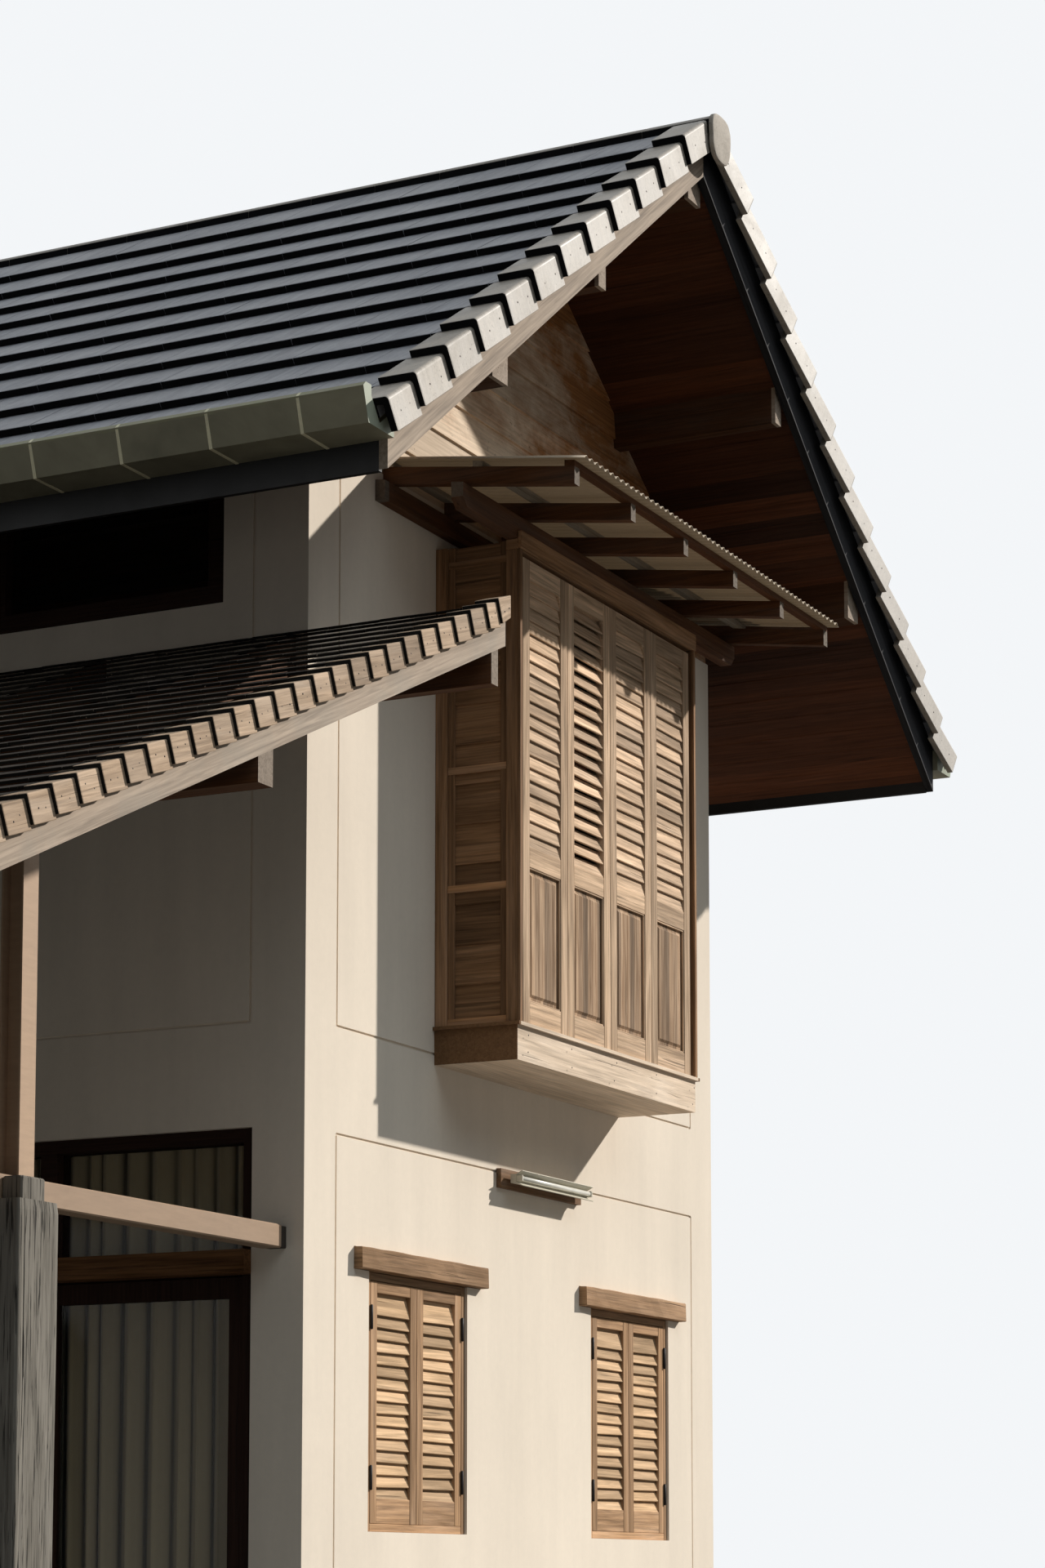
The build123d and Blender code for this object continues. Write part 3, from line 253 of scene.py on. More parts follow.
def grid_faces(p, q):
    """Quads between the points of a p by q grid."""
    index = np.arange(p * q).reshape(p, q)
    return np.stack([index[:-1, :-1], index[1:, :-1], index[1:, 1:], index[:-1, 1:]], -1).reshape(-1, 4)


def shell_piece(name, outer, inner, material, corners):
    """A closed sheet between two grids (p, q, 3), joined round its edges. corners is its UV (p, q, 2)."""
    p, q, _ = outer.shape
    normal = np.cross(outer[1, 0] - outer[0, 0], outer[0, 1] - outer[0, 0])
    faces = grid_faces(p, q)
    index = np.arange(p * q).reshape(p, q)
    rim = np.concatenate([index[:-1, 0], index[-1, :-1], index[:0:-1, -1], index[0, :0:-1]])
    after = np.roll(rim, -1)
    edge = np.stack([after, rim, rim + p * q, after + p * q], -1)
    if (normal * (outer[0, 0] - inner[0, 0])).sum() < 0:
        faces, edge = faces[:, ::-1], edge[:, ::-1]
    groups = [np.concatenate([faces, faces[:, ::-1] + p * q]), edge]
    flat = np.concatenate([corners.reshape(-1, 2)] * 2)
    return mesh_piece(name, np.stack([outer, inner]), groups, material, [flat[group] for group in groups], None, True)


# Materials.
def srgb(red, green, blue):
    """A colour given as 0 to 255 in sRGB, as linear red, green and blue."""
    share = np.array([red, green, blue]) / 255
    return tuple(float(x) for x in np.where(share <= 0.04045, share / 12.92, ((share + 0.055) / 1.055) ** 2.4))


def scaled(colour, share):
    """A colour made darker or paler by a share."""
    return tuple(min(1.0, channel * share) for channel in colour[:3])


class Nodes:
    """Short names for the nodes of one tree."""

    def __init__(self, tree):
        self.tree = tree

    def put(self, socket, value):
        """Links a socket, or sets its number, vector or colour."""
        if isinstance(value, bpy.types.NodeSocket):
            self.tree.links.new(value, socket)
        else:
            socket.default_value = (*value[:3], 1.0) if socket.type == "RGBA" else value

    def node(self, kind, sockets=(), **settings):
        made = self.tree.nodes.new("ShaderNode" + kind)
        for key, value in settings.items():
            setattr(made, key, value)
        for key, value in dict(sockets).items():
            self.put(made.inputs[key], value)
        return made

    def math(self, operation, a, b=0.0):
        return self.node("Math", {0: a, 1: b}, operation=operation).outputs[0]


class Finish(Nodes):
    """One procedural material."""

    def __init__(self, name, roughness=0.8, **constants):
        self.material = bpy.data.materials.new(name)
        self.material.use_nodes = True
        super().__init__(self.material.node_tree)
        self.shader = self.tree.nodes["Principled BSDF"]
        self.shader.inputs["Roughness"].default_value = roughness
        for key, value in constants.items():
            self.shader.inputs[key.replace("_", " ").title().replace("Ior", "IOR")].default_value = value

    @property
    def where(self):
        """The object coordinates."""
        return self.node("TexCoord").outputs["Object"]

    def axis(self, name):
        """One of the object coordinates."""
        return self.node("SeparateXYZ", {0: self.where}).outputs[name]

    def beyond(self, axis, place):
        """1 past place at both ends of an axis."""
        return self.math("GREATER_THAN", self.math("ABSOLUTE", self.axis(axis)), place)

    def noise(self, size, detail=4.0, roughness=0.55, distortion=0.0, source="OBJECT", turn=(0, 0, 0)):
        """Noise of one frequency, or of three, one for each axis of the object or the UV turned back by turn."""
        vector, scale = self.where if source == "OBJECT" else self.node("UVMap", uv_map="UVMap").outputs["UV"], 1.0
        if isinstance(size, float):
            scale = size
        else:
            sockets = {"Vector": vector, "Scale": tuple(1 / share for share in size), "Rotation": turn}
            vector = self.node("Mapping", sockets, vector_type="TEXTURE").outputs[0]
        sockets = {"Vector": vector, "Scale": scale, "Detail": detail, "Roughness": roughness,
                   "Distortion": distortion}
        return self.node("TexNoise", sockets).outputs["Fac"]

    def mark(self, name="tone"):
        """A number stored on the faces: tone, one a board, or butt, 1 on a tile's butt, which the materials paint dark
        as shade.
        """
        return self.node("Attribute", attribute_name=name).outputs["Fac"]

    def count(self, value, start, width):
        """A random number for each strip of that width from start on."""
        strip = self.math("FLOOR", self.math("DIVIDE", self.math("SUBTRACT", value, start), width))
        return self.node("TexWhiteNoise", {"W": strip}, noise_dimensions="1D").outputs["Value"]

    def span(self, value, low, high, out_low=0.0, out_high=1.0):
        """A value carried from one range to another and held at its ends."""
        sockets = {"Value": value, "From Min": low, "From Max": high, "To Min": out_low, "To Max": out_high}
        return self.node("MapRange", sockets).outputs[0]

    def mix(self, share, a, b, blend="MIX"):
        return self.node("Mix", {0: share, 6: a, 7: b}, data_type="RGBA", blend_type=blend).outputs[2]

    def veil(self, under, colour, value, low, high, most=1.0):
        """A colour laid over another where a value goes from low to high, up to a share."""
        return self.mix(self.span(value, low, high, 0.0, most), under, colour)

    def times(self, colour, first, *others):
        """A colour multiplied by numbers, each given as span takes it."""
        value = self.span(*first)
        for other in others:
            value = self.math("MULTIPLY", value, self.span(*other))
        grey = self.node("CombineColor", {0: value, 1: value, 2: value}).outputs[0]
        return self.mix(1.0, colour, grey, "MULTIPLY")

    def over(self, share, kind, colour):
        """Lays a plain second shader over the first one by a share."""
        second = self.node(kind, {"Color": colour})
        both = self.node("MixShader", {0: share, 1: self.shader.outputs[0], 2: second.outputs[0]})
        self.put(self.tree.nodes["Material Output"].inputs["Surface"], both.outputs[0])

    def done(self, colour, rough=None, bump=None):
        """The material with its colour, its roughness and its bump (height, distance, strength)."""
        self.put(self.shader.inputs["Base Color"], colour)
        if rough:
            self.put(self.shader.inputs["Roughness"], rough)
        if bump:
            made = self.node("Bump", zip(("Height", "Distance", "Strength"), bump))
            self.put(self.shader.inputs["Normal"], made.outputs[0])
        return self.material


def timber(name, colour, pale, dark, source="UV", axis=0, board=None, roughness=0.78, wear=0.35, spread=0.35,
           crack=0.5, ends=None, stain=0.16, shake=(0.30, 0.36, 34.0, 0.8), under=None):
    """Timber: fibres are noise drawn out on the grain, over broad blotches, with fine dark cracks.

    pale and dark are the fibres' shares of the colour, and under is the dark ones' colour if it is another.
    board is (nx, ny, nz, width, start): boards of that width, counted along that direction from start, each
    have their own tone. ends is (axis, place, colour): what lies beyond place at both ends has that colour.
    shake is the cracks' two thresholds and their frequency across and along the grain.
    """
    look = Finish(name, roughness, specular_ior_level=0.15)
    pale, dark = scaled(colour, pale), scaled(colour if under is None else under, dark)
    fine, broad, shakes = [70.0] * 3, [9.0] * 3, [shake[2]] * 3
    fine[axis], broad[axis], shakes[axis] = 2.4, 0.9, shake[3]
    fibre = look.noise(fine, 6.0, 0.62, 0.6, source)
    blotch = look.noise(broad, 4.0, 0.55, 0.9, source)
    split = look.noise(shakes, 3.0, 0.6, 0.3, source)
    if board:
        where = look.node("VectorMath", {0: look.where}, operation="ABSOLUTE").outputs[0]
        along = look.node("VectorMath", {0: where, 1: board[:3]}, operation="DOT_PRODUCT").outputs["Value"]
        tone = look.count(along, board[4], board[3])
    elif source == "UV":
        tone = look.mark()
    else:
        tone = look.noise((0.7, 0.7, 0.7), 1.0)
    body = look.veil(dark, pale, fibre, 0.3, 0.7)
    body = look.veil(body, [sum(pale) / 3 * share for share in (1.06, 1.0, 0.92)], blotch, 0.42, 0.7, wear)
    body = look.times(body, (tone, 0.0, 1.0, 1 - spread, 1 + spread), (blotch, 0.3, 0.7, 1 - stain, 1 + 0.8 * stain))
    body = look.mix(look.span(split, *shake[:2], crack, 0.0), body, scaled(dark, 0.25))
    # Painted shade: faces marked butt take the near black PAINTED_BUTT_SHADE.
    if source == "UV":
        body = look.mix(look.mark("butt"), body, PAINTED_BUTT_SHADE)
    if ends:
        end = look.veil(scaled(ends[2], 0.6), ends[2], fibre, 0.3, 0.7)
        body = look.mix(look.beyond(*ends[:2]), body, end)
    height = look.math("ADD", fibre, look.span(split, *shake[:2], -1.2, 0.0))
    return look.done(body, look.span(fibre, 0.2, 0.8, roughness + 0.1, roughness - 0.1), (height, 0.0022, 0.8))


def rendered_wall(colour):
    """Cream render: broad and fine mottling, faint streaks and a darker foot, with a trowelled bump."""
    look = Finish("cream_render", 0.9, specular_ior_level=0.2)
    broad, streak = look.noise(0.7, 5.0, 0.6, 0.4), look.noise((5.0, 5.0, 0.45), 5.0, 0.6)
    fine, grain = look.noise(26.0, 6.0, 0.7), look.noise(240.0, 3.0, 0.6)
    body = look.times(colour, (broad, 0.3, 0.7, 0.94, 1.03), (streak, 0.3, 0.72, 1.02, 0.93),
                      (fine, 0.25, 0.75, 0.97, 1.02))
    foot = look.math("MULTIPLY", look.span(look.axis("Z"), 0.0, 0.7, 0.5, 0.0), look.span(streak, 0.35, 0.6))
    body = look.mix(foot, body, scaled(colour, 0.45))
    body = look.veil(body, scaled(colour, 0.62), look.noise(5.5, 8.0, 0.75), 0.66, 0.72, 0.28)
    level = look.math("ADD", look.math("MULTIPLY", fine, 0.8), look.math("MULTIPLY", grain, 0.25))
    return look.done(body, None, (level, 0.0014, 0.35))


def cement_tile(name, colour, pale, dust, roughness, streak, pitted=0.0):
    """A cement tile: dusty patches, streaks across its path, pits, a tone for each tile, and a butt painted near black
    as shade.

    pale and dust are shares of the colour.
    """
    look = Finish(name, roughness)
    patch, fine, speck = look.noise(2.4, 6.0, 0.62, 0.8), look.noise(55.0, 5.0, 0.7), look.noise(190.0, 2.0, 0.5)
    brush, pits = look.noise((26.0, 2.6, 1.0), 5.0, 0.6, 0.8, "UV"), look.noise(75.0, 3.0, 0.6)
    body = look.veil(scaled(colour, pale), scaled(colour, dust), patch, 0.35, 0.72, 0.55)
    body = look.times(body, (fine, 0.3, 0.7, 0.88, 1.1), (speck, 0.3, 0.7, 0.93, 1.05),
                      (look.mark(), 0.0, 1.0, 0.91, 1.08), (brush, 0.3, 0.72, 1 - streak, 1 + streak),
                      (pits, 0.62, 0.70, 1.0, 1 - pitted))
    # Painted shade: the faces marked butt get a near black diffuse shader.
    look.over(look.mark("butt"), "BsdfDiffuse", (0.012, 0.012, 0.013))
    height = look.math("ADD", fine, look.math("MULTIPLY", speck, 0.5))
    return look.done(body, look.span(patch, 0.3, 0.7, roughness - 0.08, roughness + 0.16), (height, 0.0009, 0.4))


def weathered_shingle(colour, fleck):
    """Dark timber shingles: drawn-out grain down the slope, a tone for each, butts painted dark as shade, and pale
    flecks.
    """
    look = Finish("weathered_shingle", 0.9, specular_ior_level=0.08)
    grain = look.noise((5.0, 60.0, 5.0), 6.0, 0.65)
    body = look.times(colour, (look.mark(), 0.0, 1.0, 0.6, 1.35), (grain, 0.3, 0.7, 0.7, 1.25))
    # Painted shade: the shingles' butts are darkened to a fifth of the colour.
    body = look.mix(look.mark("butt"), body, scaled(colour, 0.2))
    body = look.veil(body, scaled(fleck, 0.35), look.noise(1.3, 5.0, 0.6), 0.4, 0.7, 0.15)
    body = look.veil(body, fleck, look.noise(34.0, 3.0, 0.5), 0.72, 0.76, 0.9)
    return look.done(body, None, (grain, 0.0025, 0.8))


def painted_metal(name, colour, roughness, dirt=0.25, size=3.0, metallic=0.0):
    """Paint on metal: nearly even, with thin dirt in broad patches, fine scratches and a slight ripple."""
    look = Finish(name, roughness, metallic=metallic, specular_ior_level=0.3)
    patch, fine = look.noise(size, 6.0, 0.65, 0.6), look.noise((9.0, 9.0, 60.0), 4.0, 0.6)
    body = look.veil(colour, scaled(colour, 0.45), patch, 0.45, 0.75, dirt)
    body = look.times(body, (fine, 0.3, 0.7, 0.93, 1.05))
    return look.done(body, look.span(patch, 0.3, 0.75, roughness - 0.06, roughness + 0.2), (patch, 0.0008, 0.25))


def hinge_iron():
    return painted_metal("hinge_iron", srgb(38, 34, 32), 0.5, 0.4, 30.0, 0.4)


def weathered_sheet(colour):
    """The corrugated sheet: dull paint, painted shade on one flank of each wave, with dirt down the fall and dark
    specks.
    """
    look = Finish("corrugated_sheet", 0.6, metallic=0.15)
    streak, dots = look.noise((16.0, 1.2, 1.2), 6.0, 0.6), look.noise(60.0, 2.0, 0.5)
    body = look.veil(colour, scaled(colour, 0.5), streak, 0.45, 0.72, 0.55)
    body = look.veil(body, srgb(126, 104, 80), look.noise(2.2, 5.0, 0.65), 0.5, 0.75, 0.3)
    # Painted shade: one flank of each wave is darkened towards a fifth of the colour.
    turn = look.math("MULTIPLY", look.math("ADD", look.axis("X"), CANOPY_HALF), 2 * pi / CANOPY_PITCH)
    body = look.veil(body, scaled(colour, 0.2), look.math("SINE", turn), 0.3, -0.6, 0.85)
    body = look.veil(body, scaled(colour, 0.15), dots, 0.70, 0.75, 0.75)
    look.over(0.28, "BsdfTranslucent", colour)
    return look.done(body, look.span(streak, 0.3, 0.7, 0.5, 0.8), (dots, 0.0005, 0.3))


def window_glass():
    """A pane: a near black body that lets most light through, with a faint dusty film."""
    look = Finish("window_glass", 0.06, alpha=0.16, specular_ior_level=0.5)
    film = look.noise((1.5, 1.5, 1.5))
    body = look.veil((0.012, 0.015, 0.014), (0.05, 0.05, 0.045), film, 0.4, 0.7, 0.3)
    return look.done(body, look.span(film, 0.3, 0.7, 0.04, 0.12))


def curtain_cloth(colour, middle):
    """Plain woven cloth: a fine crossed weave on the sheet's own UV, and painted shade, nearly black, in the folds'
    recesses past the middle x.
    """
    look = Finish("curtain_cloth", 0.92, sheen_weight=0.25, sheen_roughness=0.5)
    across, down = look.noise((900.0, 24.0, 1.0), 2.0, source="UV"), look.noise((24.0, 900.0, 1.0), 2.0, source="UV")
    weave = look.math("ADD", across, down)
    fold = look.noise((3.0, 0.6, 1.0), 3.0, source="UV")
    body = look.veil(colour, scaled(colour, 0.72), fold, 0.3, 0.7, 0.4)
    # Painted shade: the folds' recesses past the middle x are darkened nearly to black.
    body = look.veil(body, scaled(colour, 0.08), look.axis("X"), middle, middle + 0.018, 0.9)
    return look.done(look.times(body, (weave, 0.7, 1.3, 0.88, 1.08)), None, (weave, 0.0004, 0.4))


def trowelled_concrete(colour):
    """Grey concrete with cloudy patches and fine pores."""
    look = Finish("trowelled_concrete", 0.8)
    pores = look.noise(90.0, 3.0, 0.6)
    body = look.veil(scaled(colour, 0.8), colour, look.noise(1.6, 6.0, 0.6), 0.3, 0.7)
    return look.done(look.times(body, (pores, 0.3, 0.7, 0.92, 1.05)), None, (pores, 0.001, 0.3))


def lamp_tube_glass():
    """The lamp's tube: opal white with grey ends of dust."""
    look = Finish("opal_tube", 0.25)
    dust = look.noise((9.0, 30.0, 30.0))
    return look.done(look.veil(srgb(226, 224, 214), srgb(176, 170, 156), dust, 0.35, 0.7, 0.35))


def flaked_boards(colour):
    """The gable's boards: old pale paint, worn to the brown timber in patches, with specks. The paint covers more
    towards the left, partly as painted light for the sunlit side and painted shade deepening to the right.
    """
    look = Finish("gable_boards", 0.75, specular_ior_level=0.15)
    grain, patch = look.noise((2.4, 70.0, 70.0), 6.0, 0.6, 0.5), look.noise((1.7, 1.7, 3.4), 9.0, 0.68, 0.2)
    # Painted light and shade: the X term lays more pale paint on the left and less to the right.
    share = look.math("ADD", patch, look.span(look.axis("X"), -1.6, 0.5, 0.3, -0.2))
    overlay = look.veil(srgb(200, 180, 156), srgb(238, 218, 194), grain, 0.3, 0.7)
    body = look.veil(look.veil(scaled(colour, 0.4), colour, grain, 0.3, 0.7), overlay, share, 0.30, 0.60, 0.9)
    body = look.times(body, (look.count(look.axis("Z"), 6.030, 0.186), 0.0, 1.0, 0.8, 1.12))
    body = look.veil(body, scaled(colour, 0.2), look.noise(42.0, 5.0, 0.7), 0.64, 0.70, 0.75)
    return look.done(body, None, (grain, 0.0015, 0.6))


def barge_board_colours(colour):
    """The barge boards: bare pale timber on the left, near black on the right, with the grain up each slope."""
    look = Finish("barge_boards", 0.75, specular_ior_level=0.15)
    left, right = (look.noise((2.4, 70.0, 70.0), 6.0, 0.6, 0.5, turn=(0, turn, 0)) for turn in (-PITCH, PITCH))
    side = look.math("GREATER_THAN", look.axis("X"), 0.0)
    fibre = look.node("Mix", {0: side, 2: left, 3: right}).outputs[0]
    pale = look.veil(scaled(colour, 0.45), colour, fibre, 0.3, 0.7)
    pale = look.veil(pale, scaled(colour, 0.7), look.noise(3.0, 4.0, 0.6, 0.6), 0.45, 0.7, 0.45)
    # The right boards are near black.
    overlay = look.veil(srgb(20, 20, 22), srgb(44, 44, 47), fibre, 0.3, 0.8)
    return look.done(look.mix(side, pale, overlay), None, (fibre, 0.0012, 0.6))


def porch_barge_timber(colour):
    """The porch's barge boards: pale timber with the grain down the slope and grey blotches."""
    look = Finish("porch_barge_timber", 0.75, specular_ior_level=0.15)
    fibre = look.noise((2.2, 60.0, 60.0), 6.0, 0.62, 0.8, turn=(0, -PORCH_PITCH, 0))
    body = look.veil(scaled(colour, 0.5), scaled(colour, 1.08), fibre, 0.3, 0.7)
    body = look.veil(body, srgb(150, 144, 134), look.noise(2.6, 5.0, 0.6, 0.8), 0.45, 0.7, 0.5)
    return look.done(body, None, (fibre, 0.0014, 0.6))


def gutter_paint(colour):
    """The gutters' paint: dark and dull below, with a pale olive strip along the lip, partly moss and partly a painted
    highlight.
    """
    look = Finish("gutter_paint", 0.5, specular_ior_level=0.2)
    patch, moss_and_highlight = look.noise(2.2, 5.0, 0.6, 0.6), look.noise((20.0, 9.0, 60.0), 5.0, 0.7)
    edge = look.math("ADD", look.axis("Z"), look.span(moss_and_highlight, 0.3, 0.7, -0.006, 0.006))
    # The lip's pale olive strip is partly moss and partly a painted highlight.
    lip = look.veil(scaled(colour, 0.9), srgb(152, 150, 120), moss_and_highlight, 0.40, 0.58)
    body = look.veil(look.veil(colour, scaled(colour, 0.6), patch, 0.35, 0.7), lip, edge, 5.680, 5.686)
    return look.done(look.mix(look.beyond("Y", 4.9635), body, srgb(150, 156, 138)), None, (patch, 0.0008, 0.25))


# What a user would change.
class VillaColours(bpy.types.PropertyGroup):
    """The villa's main colours"""


class VillaSizes(bpy.types.PropertyGroup):
    """The villa's repeated sizes and its light"""


COLOURS = {
    "render": ("rendered walls", (236, 223, 206)),
    "roof_tile": ("roof tiles", (124, 125, 130)),
    "barge_tile": ("tiles along the rakes", (146, 138, 128)),
    "teak": ("shutters' timber", (224, 190, 156)),
    "slat": ("ground windows' slats", (222, 184, 142)),
    "sill": ("bay's base board", (240, 216, 190)),
    "bay_side": ("boards of the bay's sides", (152, 114, 80)),
    "gable": ("boards in the gable", (170, 116, 70)),
    "soffit": ("boards under the roof", (84, 46, 24)),
    "roof_timber": ("beams and the canopy's timber", (118, 76, 46)),
    "barge_board": ("boards along the rakes", (186, 168, 150)),
    "porch_block": ("blocks along the porch roof", (186, 160, 134)),
    "shingle": ("porch's shingles", (46, 41, 37)),
    "lintel": ("lintels' timber", (200, 158, 118)),
    "post": ("old posts", (134, 128, 118)),
    "frame": ("window and door frames", (48, 28, 18)),
    "gutter": ("gutters", (160, 154, 130)),
    "steel": ("painted steel", (162, 136, 112)),
    "sheet": ("corrugated sheet", (208, 192, 170)),
    "curtain": ("curtains", (216, 198, 160)),
}
for _key, (_text, _shade) in COLOURS.items():
    VillaColours.__annotations__[_key] = bpy.props.FloatVectorProperty(
        description="Colour of the " + _text, default=srgb(*_shade), min=0.0, max=1.0, size=3, subtype="COLOR")

SIZES = {
    "tile_width": ("Width of one roof tile", 0.332, "DISTANCE"),
    "tile_joint": ("Gap between two roof tiles", 0.003, "DISTANCE"),
    "shingle_width": ("Mean width of one shingle", 0.115, "DISTANCE"),
    "ridge_cover": ("Length that one ridge tile covers", 0.370, "DISTANCE"),
    "strap_spacing": ("Distance between the gutters' straps", 0.42, "DISTANCE"),
    "pleat_width": ("Width of one pleat of the curtains", 0.106, "DISTANCE"),
    "pleat_depth": ("Depth of the curtains' pleats", 0.044, "DISTANCE"),
    "fill": ("Strength of the soft lamp from above", 1.0, "NONE"),
    "sun": ("Strength of the main lamp", 4.5, "NONE"),
    "sky": ("Strength of the light from all round", 0.08, "NONE"),
}
for _key, (_text, _size, _kind) in SIZES.items():
    VillaSizes.__annotations__[_key] = bpy.props.FloatProperty(
        description=_text, default=_size, min=0.0, subtype=_kind)


def dress(material, *names):
    """Gives CAD nodes a material."""
    for name in names:
        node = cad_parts[name]
        for slot in node.material_slots:
            slot.material = material
        if not node.material_slots:
            node.data.materials.append(material)


# Each builder takes the user's sizes and colours. First the walls and floors.
def finish_walls(_, colours):
    dress(rendered_wall(colours.render), "front_wall", "back_wall", "right_wall", "left_wall_corner",
          "left_wall_rear", "left_wall_upper", "door_step")
    dress(trowelled_concrete(srgb(150, 146, 138)), "ground_slab", "upper_floor")


# The main roof.
def slope_bars(start, end, y0, y1, top, thickness, lap, nose=0.005):
    """Rings (b, 2, 7, 3) of tiles laid up the left slope, each a flat bar carried along the ridge.

    Its section runs from the nose at (start, top + butt) to (end + lap, top), with a rounded nose.
    """
    length = end - start
    fall = TILE_BUTT * (length + lap) / length
    high = top + TILE_BUTT
    section = [(start, high - thickness), (end + lap, high - fall - 0.018), (end + lap, high - fall),
               (start + 1.6 * nose, high), (start + 0.5 * nose, high - 0.3 * nose), (start, high - nose),
               (start, high - 0.5 * thickness)]
    return carried(np.stack([slope_point(along, rise) for along, rise in section], 1), y0, y1)


def lay_roof_tiles(sizes, colours):
    """Tiles in broken bond: a course's joints are half a tile off those of the next."""
    starts, edge = tile_courses()
    reach = 4.966
    chance = np.random.default_rng(3)
    rows = []
    for course, (start, end) in enumerate(zip(starts, np.append(starts[1:], edge + 0.05))):
        first = -reach - sizes.tile_width * (0.5 if course % 2 else 0.0)
        edges = np.arange(first, reach + sizes.tile_width, sizes.tile_width)
        edges = np.unique(np.clip(edges, -reach, reach))
        thick = 0.030 if course else 0.050
        rows += [(start, end, y0, y1, thick) for y0, y1 in zip(edges[:-1], edges[1:])]
    start, end, y0, y1, thick = np.array(rows).T
    slip = chance.normal(0, 0.0012, len(start)).clip(0, 0.003)
    top = TILE_TOP + chance.normal(0, 0.0006, len(start)).clip(-0.0012, 0.0)
    joint = sizes.tile_joint / 2
    material = cement_tile("charcoal_tile", colours.roof_tile, 1.0, 1.3, 0.5, 0.28)
    rings = slope_bars(start + slip, end, y0 + joint, y1 - joint, top, thick, np.where(end > edge, 0.0, 0.04))
    # The noses and butt faces, sides 4 to 6, are painted near black as shade.
    for seed, side, way in ((5, "left", 1.0), (6, "right", -1.0)):
        lay("roof_tile_courses_" + side, rings * np.array([way, 1.0, 1.0]), material, seed, "roof_tile",
            "roof_tiles_" + side, painted_shade_sides=(4, 5, 6))


def angle_ring(arm, leg, thick, outer_radius, inner_radius):
    """The section (n, 2) of an angled tile, its outer corner at the origin, both corners rounded."""
    turn = np.linspace(pi, pi / 2, 6)
    outer = outer_radius * np.stack([1 + np.cos(turn), np.sin(turn) - 1], -1)
    turn = np.linspace(pi / 2, pi, 5)
    centre = thick + inner_radius
    inner = np.stack([centre + inner_radius * np.cos(turn), inner_radius * np.sin(turn) - centre], -1)
    soft = 0.002
    low = [(thick, -leg), (soft, -leg), (0, -leg + soft)]
    return np.concatenate([outer, [(arm - soft, 0), (arm, -soft), (arm, -thick)], inner, low])


def angle_bars(section, low, high, y_low, y_high, turn):
    """Rings (b, 3, n, 3) of angled tiles up a slope, from low to high (b, 2), each end square to the slope.

    The outer corner goes from (low, y_low) to (high, y_high), and the section's first number is measured
    into the roof, the second square off the slope.
    """
    shares = np.array([0.0, 0.02, 1.0])[:, None]
    drawn = np.array([0.0015, 0.0, 0.0])[:, None, None] * np.sign(section.mean(axis=0) - section)
    a, r = np.moveaxis(section + drawn, -1, 0)
    foot = low[:, None, None] + (high - low)[:, None, None] * shares[..., None]
    return joined(foot[..., 0] - r * sin(turn), y_low + (y_high - y_low) * shares + a, foot[..., 1] + r * cos(turn))


def stepped(section, point, low, high, top, butt, front, step, pitch, seed, shares, drop, stray):
    """Rings of angled tiles that step over one another from low to high, and their nails' places, two a tile."""
    rings = angle_bars(section, point(low, top + butt), point(high, top), front - step, front, pitch)
    chance = np.random.default_rng(seed)
    share = np.array(shares)[:, None]
    along = low + (high - low) * share + chance.normal(0, stray[0], (2, len(low)))
    flat = point(along, top + butt * (1 - share) - drop + chance.normal(0, stray[1], along.shape))
    return rings, joined(flat[..., 0], front - step + step * share, flat[..., 1]).reshape(-1, 3)


def lay_barge_tiles(_, colours):
    """Angled tiles along the four rakes, each stepped over the one below, with nail heads on their legs."""
    starts, edge = tile_courses()
    section = angle_ring(0.175, 0.147, 0.030, 0.016, 0.006)
    rings, points = stepped(section, slope_point, starts, np.append(starts[1:], edge), BARGE_TILE_TOP, TILE_BUTT,
                            BARGE_TILE_FRONT, BARGE_TILE_STEP, PITCH, 12, (0.3, 0.72), 0.075, (0.006, 0.008))
    material = cement_tile("barge_tile", colours.barge_tile, 1.0, 1.35, 0.5, 0.12, 0.5)
    # Each tile's butt, its first end, is painted near black as shade.
    lay("barge_tile_rows", both_sides(both_gables(rings)), material, 11, "roof_tile", "barge_tiles", painted_shade_end=True)
    iron = painted_metal("nail_iron", srgb(48, 40, 34), 0.6)
    lay("barge_tile_nails", both_sides(both_gables(nails(points, 0.0045))), iron, 13, "roof_tile", smooth=True)


